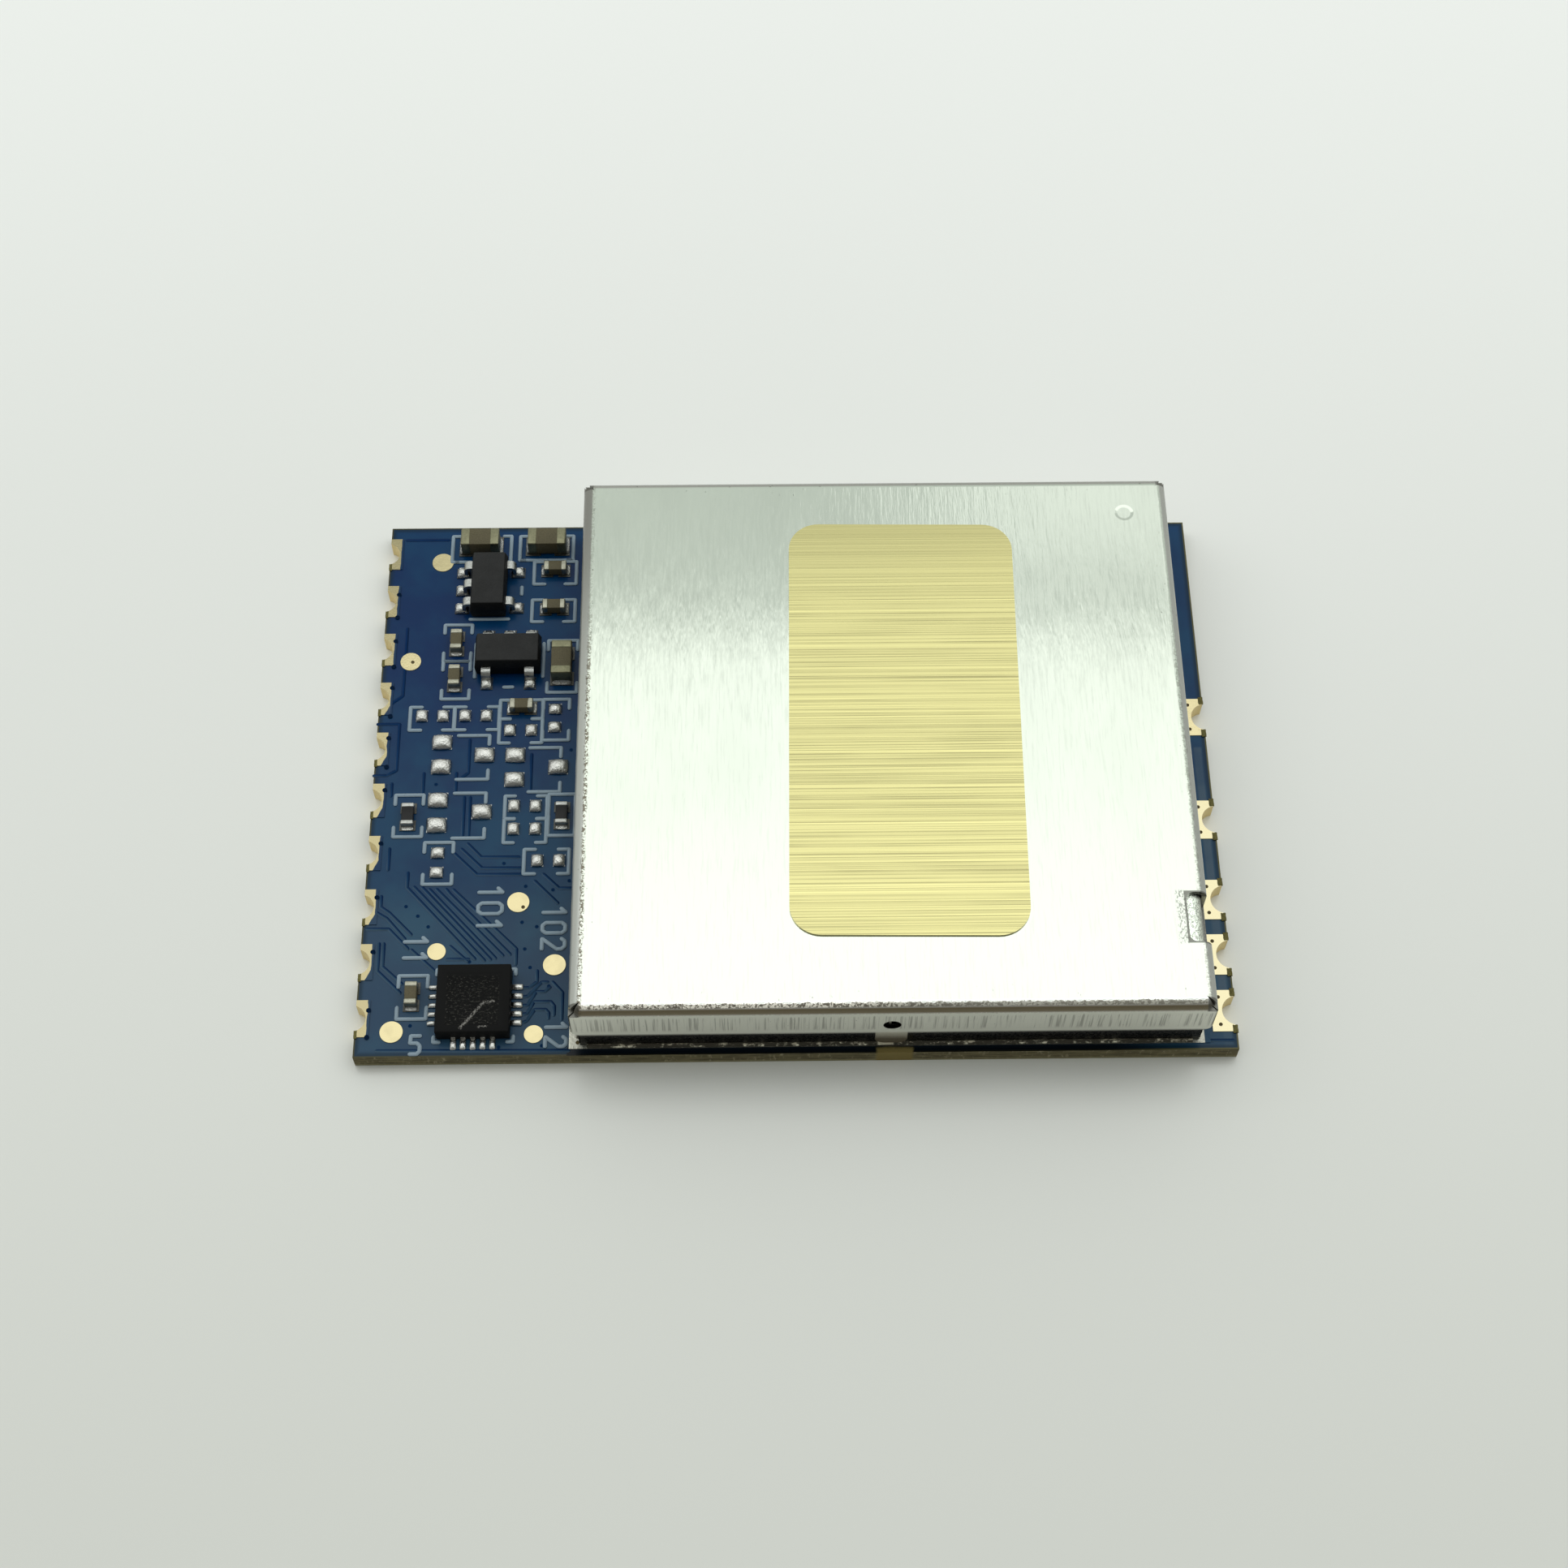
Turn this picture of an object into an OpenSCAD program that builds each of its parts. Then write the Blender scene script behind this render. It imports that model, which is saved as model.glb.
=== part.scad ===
// Castellated video transmitter module: a blue circuit board with a shielded radio section,
// a row of control parts beside the shield, and half-hole contacts along both short sides.
// Origin: centre of the board's underside. +X along the long side, +Y away, +Z up. Millimetres.

/* [Board] */
// Length of the board along X
board_x = 36; // [35.5:0.1:38]
// Depth of the board along Y
board_y = 26; // [25.8:0.1:28]
// Thickness of the board
board_t = 0.8; // [0.6:0.1:1.6]
// Thickness of the copper lands
copper_t = 0.04; // [0.03:0.005:0.05]

/* [Edge contacts] */
// Distance between neighbouring contacts
contact_pitch = 2.54; // [2.4:0.01:2.54]
// Number of contacts on the left side
left_count = 10; // [4:1:10]
// Place of the farthest left contact along Y
left_first_y = 11.57; // [11.4:0.01:11.8]
// Place of the farthest right contact along Y
right_first_y = 2.66; // [2.4:0.01:3]
// Drilled size of a left half hole, inside its plating
left_hole_d = 1.15; // [0.8:0.05:1.2]
// Drilled size of a right half hole, inside its plating
right_hole_d = 1.3; // [1:0.05:1.4]
// Distance of a left half hole's centre outside the board's edge
left_outset = 0.15; // [0.15:0.01:0.25]
// Distance of a right half hole's centre outside the board's edge
right_outset = 0.1; // [0.05:0.01:0.2]
// Thickness of the plating in a half hole
plating_t = 0.05; // [0.03:0.01:0.08]

/* [Shield] */
// Width of the lid along X
lid_x = 25.7; // [25:0.1:25.8]
// Depth of the lid along Y
lid_y = 25.6; // [25:0.1:25.7]
// Height of the lid's top above the board
lid_top = 3.8; // [3:0.1:5]
// Place of the shield's centre along X
shield_at_x = 3.8; // [3.6:0.1:3.9]
// Thickness of the tinned sheet
sheet_t = 0.2; // [0.15:0.01:0.25]
// Outer radius of a fold
bend_r = 0.45; // [0.35:0.01:0.5]
// Depth of the lid's skirt below its top
skirt_drop = 2.3; // [1.8:0.1:2.6]
// Clearance between the lid's skirt and the frame
fit_gap = 0.03; // [0.02:0.01:0.05]
// Width of the frame's inward flange
flange_w = 1.6; // [1.2:0.1:3]
// Diameter of the lock hole
lock_hole_d = 0.72; // [0.6:0.02:0.9]
// Depth of the lock hole's centre below the lid's top
lock_drop = 1.5; // [1.2:0.05:1.7]
// Width of the lock tab
tab_w = 1.3; // [1.1:0.1:2]
// Depth of the lock tab's end below the lid's top
tab_drop = 3.25; // [2.9:0.05:3.3]
// Depth of the pry notch in the lid's right side
notch_x = 0.92; // [0.6:0.02:1.2]
// Length of the pry notch along Y
notch_y = 2.2; // [1.6:0.1:3]
// Place of the pry notch's centre along Y
notch_at_y = -8.85; // [-10:0.05:-7]

/* [Label] */
// Width of the foil label
label_x = 9.7; // [8:0.1:12]
// Length of the foil label
label_y = 19.9; // [16:0.1:22]
// Corner radius of the foil label
label_r = 1.3; // [0.5:0.1:2.5]
// Thickness of the foil label
label_t = 0.08; // [0.05:0.01:0.15]
// Turn of the label on the lid, in degrees
label_turn = -0.7; // [-2:0.1:2]

/* [Hidden] */
$fn = 48;
eps = 0.5;
seat_z = board_t + copper_t;

// Edge contact lands, as width in from the edge and length along it
left_land = [0.58, 1.64];
right_land = [1.0, 1.84];
left_ys = [for (i = [0:left_count - 1]) left_first_y - i * contact_pitch];
// The right row's steps, counted in pitches from its farthest contact
right_steps = [0, 2, 3.5, 4.5, 5.5];
right_ys = [for (s = right_steps) right_first_y - s * contact_pitch];

// Shield: the frame fits inside the lid's skirt and carries the lid on its flange
lid_z = board_t + lid_top;
frame_x = lid_x - 2 * (sheet_t + fit_gap);
frame_y = lid_y - 2 * (sheet_t + fit_gap);
frame_z = lid_z - sheet_t;
corner_slit = 0.05;
corner_cut = 0.85 * bend_r;
corner_wedge = 0.1;
corner_tip = 0.03;
skirt_corner_r = 0.5;
tab_corner_r = 0.4;
notch_r = 0.34;
notch_drop = 1.3;
lock_window_d = 0.8;
lock_tongue_w = 0.15;
lock_tongue_x = -0.08;
lock_nib_h = 0.44;
mark_r = 0.42;
mark_floor_r = 0.29;
mark_depth = 0.028;
mark_at = [10.9, 10.9];
shield_land = [lid_x + 0.4, lid_y - 0.16];
shield_land_w = 1.2;
seam_r = 0.13;
label_at = [4.7, 0.35];

// Places of the parts beside the shield: x, y and turn
bulk_capacitors = [[-13.9, 11.95, 0], [-10.9, 11.95, 0], [-10.05, 5.55, 90]];
bypass_capacitors = [
    [-10.5, 10.6, 0], [-10.5, 8.55, 0], [-14.75, 6.75, 90],
    [-14.75, 4.9, 90], [-11.75, 3.4, 0], [-15.75, -10.35, 90]
];
resistors = [[-16.4, -1.95, 90], [-9.85, -1.95, 90]];
regulators = [[-13.4, 9.55, 0], [-12.4, 5.9, -90]];
control_chip_at = [-13.15, -10.75];
// Test pads: x, y and diameter
test_pad_places = [
    [-15.6, 11.1, 0.95], [-16.75, 5.85, 0.9], [-11.55, -6.05, 0.92], [-14.85, -8.3, 0.76],
    [-9.95, -8.95, 0.94], [-16.5, -11.9, 0.94], [-10.7, -12.05, 0.78]
];
// Footprints left without a part: pairs as x, y and turn, and single lands as x and y
small_pairs = [
    [-15.63, 3.05, 0], [-13.75, 3.05, 0], [-10.3, 2.9, 90], [-11.77, 2.3, 0],
    [-11.45, -1.45, 0], [-11.43, -2.57, 0], [-15.05, -4.15, 90], [-10.36, -4.1, 0]
];
large_pairs = [[-15.13, 1.1, 90], [-11.95, 0.45, 90], [-15.17, -1.75, 90]];
large_singles = [[-13.28, 1.08], [-10.08, 0.43], [-13.28, -1.73]];

// Places of the parts under the shield: x, y and turn
transmitter_chip_at = [1.0, -3.5];
amplifier_chip_at = [9.5, -2.4];
crystal_at = [-3.6, -4.5];
choke_at = [7.6, 5.2, 90];
filter_capacitors = [[1.0, 1.4, 0], [12.6, -2.4, 90]];

// Chip part sizes: length, width, height and length of an end cap
bulk_size = [1.7, 0.9, 0.85, 0.4];
bypass_size = [1.02, 0.52, 0.5, 0.25];
resistor_size = [1.05, 0.54, 0.36, 0.22];
choke_size = [2.5, 2.0, 1.2, 0.5];
cap_t = 0.02;
cap_land_margin = 0.14;

// Leadless chip packages: body width, height, terminals a side, pitch and terminal width
control_package = [3.0, 0.78, 5, 0.4, 0.2];
transmitter_package = [5.0, 0.85, 8, 0.5, 0.26];
amplifier_package = [3.0, 0.8, 4, 0.5, 0.26];
terminal_in = 0.4;
terminal_h = 0.2;
land_out = 0.32;
heat_land = 0.56;

// Five-lead regulator package
reg_x = 1.6;
reg_y = 2.9;
reg_h = 1.1;
reg_stand = 0.06;
reg_draft = 0.1;
lead_pitch = 0.95;
lead_w = 0.4;
lead_t = 0.15;
lead_root_x = 0.7;
lead_foot_x = 1.42;
lead_foot_l = 0.4;
lead_top_z = 0.68;
lead_bend_r = 0.12;
lead_three = [-1, 0, 1];
lead_two = [-1, 1];

// Metal-capped quartz crystal
crystal_x = 3.2;
crystal_y = 2.5;
crystal_base_h = 0.45;
crystal_cap_h = 0.3;
crystal_cap_in = 0.15;
crystal_r = 0.3;

bulk_names = [for (i = [1:len(bulk_capacitors)]) str("bulk_capacitor_", i)];
bypass_names = [for (i = [1:len(bypass_capacitors)]) str("bypass_capacitor_", i)];
resistor_names = [for (i = [1:len(resistors)]) str("resistor_", i)];
regulator_names = [for (i = [1:len(regulators)]) str("regulator_", i)];
filter_names = [for (i = [1:len(filter_capacitors)]) str("filter_capacitor_", i)];
chip_names = concat(bulk_names, bypass_names, resistor_names, filter_names);

// Helper shapes

// A block centred in X and Y that stands on z = 0
module block(x, y, z) {
    translate([-x / 2, -y / 2, 0]) cube([x, y, z]);
}

// A flat rectangle with rounded corners, centred
module rounded_rect(x, y, r) {
    square([x - 2 * r, y], center = true);
    square([x, y - 2 * r], center = true);
    for (sx = [-1, 1], sy = [-1, 1])
        translate([sx * (x / 2 - r), sy * (y / 2 - r)]) circle(r);
}

// A child placed on the board's plane by x, y and turn
module placed(place) {
    translate([place.x, place.y, 0]) rotate([0, 0, len(place) > 2 ? place.z : 0]) children();
}

// Board and edge contacts

// One plated half hole: the board's edge lies on x = 0 and the board on +X
module half_hole(hole_d, outset, land) {
    difference() {
        union() {
            for (z = [0, board_t])
                translate([0, -land.y / 2, z]) cube([land.x, land.y, copper_t]);
            intersection() {
                translate([-outset, 0, 0])
                    cylinder(d = hole_d + 2 * plating_t, h = board_t + copper_t);
                translate([0, -land.y / 2, 0]) cube([land.x, land.y, board_t + copper_t]);
            }
        }
        translate([-outset, 0, -eps]) cylinder(d = hole_d, h = board_t + 2 * eps);
    }
}

// What one half hole takes out of the board: the drilling and the seat of its lower land
module half_hole_cut(hole_d, outset, land) {
    translate([-outset, 0, -eps])
        cylinder(d = hole_d + 2 * plating_t, h = board_t + 2 * eps);
    translate([-eps, -land.y / 2, -eps]) cube([land.x + eps, land.y, copper_t + eps]);
}

module at_left_edge() {
    for (y = left_ys) translate([-board_x / 2, y, 0]) children();
}

module at_right_edge() {
    for (y = right_ys) translate([board_x / 2, y, 0]) mirror([1, 0, 0]) children();
}

module circuit_board() {
    color("midnightblue") difference() {
        block(board_x, board_y, board_t);
        at_left_edge() half_hole_cut(left_hole_d, left_outset, left_land);
        at_right_edge() half_hole_cut(right_hole_d, right_outset, right_land);
    }
}

module left_castellations() {
    color("gold") at_left_edge() half_hole(left_hole_d, left_outset, left_land);
}

module right_castellations() {
    color("gold") at_right_edge() half_hole(right_hole_d, right_outset, right_land);
}

module test_pads() {
    color("gold") for (p = test_pad_places)
        translate([p.x, p.y, board_t]) cylinder(d = p.z, h = copper_t);
}

// Two lands a distance apart along X
module land_pair(gap, x, y) {
    for (s = [-1, 1]) translate([s * gap / 2, 0, board_t]) block(x, y, copper_t);
}

module spare_lands() {
    color("silver") {
        for (p = small_pairs) placed(p) land_pair(0.92, 0.5, 0.56);
        for (p = large_pairs) placed(p) land_pair(1.22, 0.7, 0.84);
        for (p = large_singles) translate([p.x, p.y, board_t]) block(0.84, 0.7, copper_t);
    }
}

// Lands under the fitted parts

// Two lands under the end caps of a chip part
module chip_lands(size) {
    land = size[3] + 2 * cap_land_margin;
    land_pair(size.x - size[3], land, size.y + cap_land_margin);
}

// Five lands under a regulator's feet
module regulator_lands() {
    foot_at = lead_foot_x - lead_foot_l / 2;
    for (k = lead_three) translate([-foot_at, k * lead_pitch, board_t]) block(0.62, 0.52, copper_t);
    for (k = lead_two) translate([foot_at, k * lead_pitch, board_t]) block(0.62, 0.52, copper_t);
}

// The four sides of a leadless package: each terminal's place on one side, turned about the centre
module package_sides(package) {
    for (turn = [0:90:270], i = [0:package[2] - 1])
        rotate([0, 0, turn])
            translate([package[0] / 2, (i - (package[2] - 1) / 2) * package[3], 0]) children();
}

module package_lands(package) {
    package_sides(package) translate([-terminal_in, -package[4] / 2, board_t])
        cube([terminal_in + land_out, package[4], copper_t]);
    translate([0, 0, board_t]) block(package[0] * heat_land, package[0] * heat_land, copper_t);
}

module crystal_lands() {
    for (sx = [-1, 1], sy = [-1, 1])
        translate([sx * crystal_x * 0.34, sy * crystal_y * 0.34, board_t]) block(0.9, 0.7, copper_t);
}

module component_lands() {
    color("silver") {
        for (p = bulk_capacitors) placed(p) chip_lands(bulk_size);
        for (p = concat(bypass_capacitors, filter_capacitors)) placed(p) chip_lands(bypass_size);
        for (p = resistors) placed(p) chip_lands(resistor_size);
        for (p = regulators) placed(p) regulator_lands();
        placed(choke_at) chip_lands(choke_size);
        placed(control_chip_at) package_lands(control_package);
        placed(transmitter_chip_at) package_lands(transmitter_package);
        placed(amplifier_chip_at) package_lands(amplifier_package);
        placed(crystal_at) crystal_lands();
    }
}

// Shield

// A quarter round of sheet along X that turns from flat to straight down; its centre is the origin
module fold(length) {
    intersection() {
        rotate([0, 90, 0]) difference() {
            cylinder(r = bend_r, h = length, center = true);
            cylinder(r = bend_r - sheet_t, h = length + 1, center = true);
        }
        translate([-length / 2, -bend_r, 0]) cube([length, bend_r, bend_r]);
    }
}

// A hanging plate of sheet with rounded lower corners; its outer face lies on y = 0
module hanging_plate(width, drop, r) {
    rotate([90, 0, 180]) linear_extrude(sheet_t) {
        translate([-width / 2, r - drop]) square([width, drop - r]);
        translate([r - width / 2, -drop]) square([width - 2 * r, r]);
        for (s = [-1, 1]) translate([s * (width / 2 - r), r - drop]) circle(r);
    }
}

// One side of a folded sheet, from its fold at y = 0 down. Both ends are cut at 45 degrees, which
// leaves a slit that opens outwards beside the next side.
module folded_side(run, drop, corner_r) {
    width = run + 2 * bend_r;
    past = 2;
    out_x = run / 2 + past * (bend_r - corner_slit);
    intersection() {
        union() {
            translate([0, 0, -bend_r]) fold(width);
            translate([0, -bend_r, -bend_r]) hanging_plate(width, drop - bend_r, corner_r);
        }
        translate([0, 0, -drop - eps]) linear_extrude(drop + 2 * eps) polygon([
            [-run / 2, 0], [run / 2, 0], [out_x, -past * bend_r], [-out_x, -past * bend_r]
        ]);
    }
}

// What is cut from the folds at a corner of the flat top, which is the origin: the outer corner is
// clipped, and a wedge runs in from the clip to the flat top. Both stop where the hanging plates start.
module corner_notch() {
    clip = bend_r - corner_cut;
    out = bend_r + eps;
    wide = bend_r + corner_wedge;
    narrow = bend_r - corner_wedge;
    translate([0, 0, -bend_r]) linear_extrude(bend_r + eps) {
        polygon([[bend_r, clip], [out, clip], [out, out], [clip, out], [clip, bend_r]]);
        polygon([[-corner_tip, -corner_tip], [wide, narrow], [narrow, wide]]);
    }
}

// One sheet folded down on four sides, its top face on z = 0
module folded_sheet(x, y, drop, corner_r) {
    flat_x = x - 2 * bend_r;
    flat_y = y - 2 * bend_r;
    difference() {
        union() {
            translate([0, 0, -sheet_t]) block(flat_x, flat_y, sheet_t);
            for (turn = [0, 180]) rotate([0, 0, turn])
                translate([0, -flat_y / 2, 0]) folded_side(flat_x, drop, corner_r);
            for (turn = [90, 270]) rotate([0, 0, turn])
                translate([0, -flat_x / 2, 0]) folded_side(flat_y, drop, corner_r);
        }
        for (sx = [-1, 1], sy = [-1, 1])
            translate([sx * flat_x / 2, sy * flat_y / 2, 0])
                rotate([0, 0, atan2(sy, sx) - 45]) corner_notch();
    }
}

// A shallow round dish with sloping sides, cut down from z = 0
module coined_mark() {
    slope = (mark_r - mark_floor_r) / mark_depth;
    translate([0, 0, -mark_depth])
        cylinder(r1 = mark_floor_r, r2 = mark_r + slope * mark_depth, h = 2 * mark_depth);
}

module at_shield(z) {
    translate([shield_at_x, 0, z]) children();
}

module shield_land_ring() {
    inner = [shield_land.x - 2 * shield_land_w, shield_land.y - 2 * shield_land_w];
    color("silver") at_shield(board_t) difference() {
        block(shield_land.x, shield_land.y, copper_t);
        translate([0, 0, -eps]) block(inner.x, inner.y, copper_t + 2 * eps);
    }
}

// A tongue across the frame's lock window, with a round nib that stands in the lid's lock hole
module lock_tongue() {
    translate([-lock_tongue_w / 2, 0, -lock_window_d / 2])
        cube([lock_tongue_w, sheet_t, lock_window_d]);
    translate([0, 0, -lock_nib_h / 2]) cylinder(d = lock_tongue_w, h = lock_nib_h);
}

// The soldered fence: four walls, an inward flange round a window, and two lock tongues
module shield_frame() {
    window = [frame_x - 2 * flange_w, frame_y - 2 * flange_w];
    lock_z = lid_z - frame_z - lock_drop;
    color("lightsteelblue") at_shield(frame_z) {
        difference() {
            folded_sheet(frame_x, frame_y, frame_z - seat_z, 0.2);
            translate([0, 0, -sheet_t - eps])
                linear_extrude(sheet_t + 2 * eps) rounded_rect(window.x, window.y, 1);
            translate([0, 0, lock_z]) rotate([90, 0, 0])
                cylinder(d = lock_window_d, h = frame_y + 2, center = true);
        }
        for (turn = [0, 180]) rotate([0, 0, turn])
            translate([lock_tongue_x, -frame_y / 2, lock_z]) lock_tongue();
    }
}

// A hollow fillet of solder along X in the corner between a wall on y = 0 and the land on z = 0
module solder_seam(length) {
    rotate([90, 0, -90]) translate([0, 0, -length / 2]) linear_extrude(length) difference() {
        square(seam_r);
        translate([seam_r, seam_r]) circle(seam_r);
    }
}

module shield_solder() {
    run_in = 0.3;
    color("gainsboro") at_shield(seat_z) {
        for (turn = [0, 180]) rotate([0, 0, turn])
            translate([0, -frame_y / 2, 0]) solder_seam(frame_x - 2 * run_in);
        for (turn = [90, 270]) rotate([0, 0, turn])
            translate([0, -frame_x / 2, 0]) solder_seam(frame_y - 2 * run_in);
    }
}

// The pry notch's outline, open past the lid's right edge
module notch_cut() {
    reach = 2;
    translate([lid_x / 2 - notch_x + reach / 2, notch_at_y, -notch_drop])
        linear_extrude(notch_drop + eps) rounded_rect(reach, notch_y, notch_r);
}

// The clip-on lid: skirts, two lock tabs with their holes, a pry notch and a coined mark
module shield_lid() {
    color("whitesmoke") at_shield(lid_z) {
        difference() {
            union() {
                folded_sheet(lid_x, lid_y, skirt_drop, skirt_corner_r);
                for (turn = [0, 180]) rotate([0, 0, turn])
                    translate([0, -lid_y / 2, -bend_r])
                        hanging_plate(tab_w, tab_drop - bend_r, tab_corner_r);
            }
            rotate([90, 0, 0]) translate([0, -lock_drop, 0])
                cylinder(d = lock_hole_d, h = lid_y + 2, center = true);
            translate([mark_at.x, mark_at.y, 0]) coined_mark();
            notch_cut();
        }
    }
}

module label() {
    color("khaki") translate([label_at.x, label_at.y, lid_z])
        rotate([0, 0, label_turn]) linear_extrude(label_t) rounded_rect(label_x, label_y, label_r);
}

// Leadless chips

module package_terminals(package) {
    package_sides(package) translate([-terminal_in, -package[4] / 2, seat_z])
        cube([terminal_in, package[4], terminal_h]);
}

module package_body(package) {
    difference() {
        translate([0, 0, seat_z]) block(package[0], package[0], package[1]);
        package_terminals(package);
    }
}

module control_chip() {
    color("black") placed(control_chip_at) package_body(control_package);
}

module control_chip_terminals() {
    color("silver") placed(control_chip_at) package_terminals(control_package);
}

module transmitter_chip() {
    color("black") placed(transmitter_chip_at) package_body(transmitter_package);
}

module transmitter_chip_terminals() {
    color("silver") placed(transmitter_chip_at) package_terminals(transmitter_package);
}

module amplifier_chip() {
    color("black") placed(amplifier_chip_at) package_body(amplifier_package);
}

module amplifier_chip_terminals() {
    color("silver") placed(amplifier_chip_at) package_terminals(amplifier_package);
}

// Crystal

module crystal_base() {
    color("wheat") placed(crystal_at) translate([0, 0, seat_z])
        linear_extrude(crystal_base_h) rounded_rect(crystal_x, crystal_y, crystal_r);
}

module crystal_cap() {
    cap_x = crystal_x - 2 * crystal_cap_in;
    cap_y = crystal_y - 2 * crystal_cap_in;
    color("lightgray") placed(crystal_at) translate([0, 0, seat_z + crystal_base_h])
        linear_extrude(crystal_cap_h) rounded_rect(cap_x, cap_y, crystal_r);
}

// Chip parts with end caps

module chip_core(size) {
    translate([0, 0, seat_z + cap_t])
        block(size.x - 2 * cap_t, size.y - 2 * cap_t, size.z - 2 * cap_t);
}

module chip_terminals(size) {
    color("silver") difference() {
        for (s = [-1, 1])
            translate([s * (size.x - size[3]) / 2, 0, seat_z]) block(size[3], size.y, size.z);
        chip_core(size);
    }
}

module chip_part(name, place, size, tint) {
    placed(place) color(tint) chip_core(size);
    placed(place) chip_terminals(size);
}

// Five-lead regulators

// One gull-wing lead seen from its side, running out along X, then down to a flat foot
module lead_outline() {
    shoulder_x = lead_foot_x - lead_foot_l - lead_bend_r;
    leg_x = shoulder_x + lead_bend_r;
    inner_r = lead_bend_r;
    outer_r = lead_bend_r + lead_t;
    translate([lead_root_x, lead_top_z - lead_t]) square([shoulder_x - lead_root_x, lead_t]);
    intersection() {
        translate([shoulder_x, lead_top_z - outer_r]) difference() {
            circle(outer_r);
            circle(inner_r);
        }
        translate([shoulder_x, lead_top_z - outer_r]) square(outer_r);
    }
    translate([leg_x, lead_t]) square([lead_t, lead_top_z - outer_r - lead_t]);
    translate([leg_x, 0]) square([lead_foot_l, lead_t]);
}

module regulator_lead_set() {
    module lead(side, k) {
        translate([0, k * lead_pitch, seat_z]) rotate([0, 0, side]) rotate([90, 0, 0])
            linear_extrude(lead_w, center = true) lead_outline();
    }
    for (k = lead_three) lead(180, k);
    for (k = lead_two) lead(0, k);
}

// A moulded body whose sides lean in above and below the line where the leads come out
module regulator_body() {
    mid = lead_top_z - lead_t / 2;
    module leaning(width, length) {
        half = width / 2;
        rotate([90, 0, 0]) linear_extrude(length, center = true) polygon([
            [-half + reg_draft / 2, reg_stand], [half - reg_draft / 2, reg_stand], [half, mid],
            [half - reg_draft, reg_h], [-half + reg_draft, reg_h], [-half, mid]
        ]);
    }
    difference() {
        translate([0, 0, seat_z]) intersection() {
            leaning(reg_x, reg_y + 1);
            rotate([0, 0, 90]) leaning(reg_y, reg_x + 1);
        }
        regulator_lead_set();
    }
}

module regulator(name, place) {
    placed(place) color("dimgray") regulator_body();
    placed(place) color("silver") regulator_lead_set();
}

circuit_board();
left_castellations();
right_castellations();
test_pads();
spare_lands();
component_lands();
shield_land_ring();
shield_frame();
shield_solder();
shield_lid();
label();
control_chip();
control_chip_terminals();
transmitter_chip();
transmitter_chip_terminals();
amplifier_chip();
amplifier_chip_terminals();
crystal_base();
crystal_cap();
placed(choke_at) color("darkslategray") chip_core(choke_size);  // choke_body
placed(choke_at) chip_terminals(choke_size);  // choke_terminals
for (i = [0:len(bulk_names) - 1])
    chip_part(bulk_names[i], bulk_capacitors[i], bulk_size, "rosybrown");
for (i = [0:len(bypass_names) - 1])
    chip_part(bypass_names[i], bypass_capacitors[i], bypass_size, "rosybrown");
for (i = [0:len(filter_names) - 1])
    chip_part(filter_names[i], filter_capacitors[i], bypass_size, "rosybrown");
for (i = [0:len(resistor_names) - 1])
    chip_part(resistor_names[i], resistors[i], resistor_size, "black");
for (i = [0:len(regulator_names) - 1])
    regulator(regulator_names[i], regulators[i]);
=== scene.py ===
"""Looks of a castellated video transmitter module, modelled piece by piece round its CAD frame."""

import functools
import math

import bmesh
import bpy
from bpy.props import FloatProperty, FloatVectorProperty, PointerProperty
from bpy.types import Operator, Panel, PropertyGroup
from mathutils import Matrix, Vector


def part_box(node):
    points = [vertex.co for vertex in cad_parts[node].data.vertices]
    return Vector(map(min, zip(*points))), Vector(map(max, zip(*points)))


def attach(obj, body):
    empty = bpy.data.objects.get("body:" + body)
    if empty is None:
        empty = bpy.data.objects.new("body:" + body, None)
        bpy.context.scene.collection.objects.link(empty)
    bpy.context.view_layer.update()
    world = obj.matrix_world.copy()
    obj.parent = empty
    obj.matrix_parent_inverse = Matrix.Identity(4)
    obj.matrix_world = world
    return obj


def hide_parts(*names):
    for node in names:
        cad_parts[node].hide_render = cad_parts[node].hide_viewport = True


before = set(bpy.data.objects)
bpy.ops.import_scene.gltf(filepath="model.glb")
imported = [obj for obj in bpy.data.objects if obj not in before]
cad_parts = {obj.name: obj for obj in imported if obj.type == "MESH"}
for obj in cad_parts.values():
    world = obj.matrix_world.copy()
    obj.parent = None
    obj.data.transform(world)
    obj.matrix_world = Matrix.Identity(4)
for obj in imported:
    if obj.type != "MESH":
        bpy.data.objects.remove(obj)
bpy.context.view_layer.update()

bl_info = {
    "name": "Castellated Transmitter Module",
    "version": (1, 0, 0),
    "blender": (4, 5, 0),
    "location": "View3D > Sidebar > Module",
    "description": "Models and finishes the pieces of a shielded radio module round its CAD frame",
    "category": "Object",
}

MM = 0.001
BODY = "root"
# Places nearer than this count as the same
SAME_PLACE = 1e-6

# The frame gives the places that the looks are built on
BOARD_LO, BOARD_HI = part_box("circuit_board")
BOARD_TOP = BOARD_HI.z
LID_LO, LID_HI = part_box("shield_lid")
LID_MIDDLE = (LID_LO + LID_HI) / 2
LID_HALF = (LID_HI - LID_LO) / 2
FENCE_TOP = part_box("shield_frame")[1].z
CHIP_LO, CHIP_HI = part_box("control_chip")
CHIP_MIDDLE = (CHIP_LO + CHIP_HI) / 2
LEFT_LO, LEFT_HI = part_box("left_castellations")
RING_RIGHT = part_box("shield_land_ring")[1].x
# The left lands' length and pitch
LEFT_LAND = 1.64 * MM
LEFT_PITCH = 2.54 * MM

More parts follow.
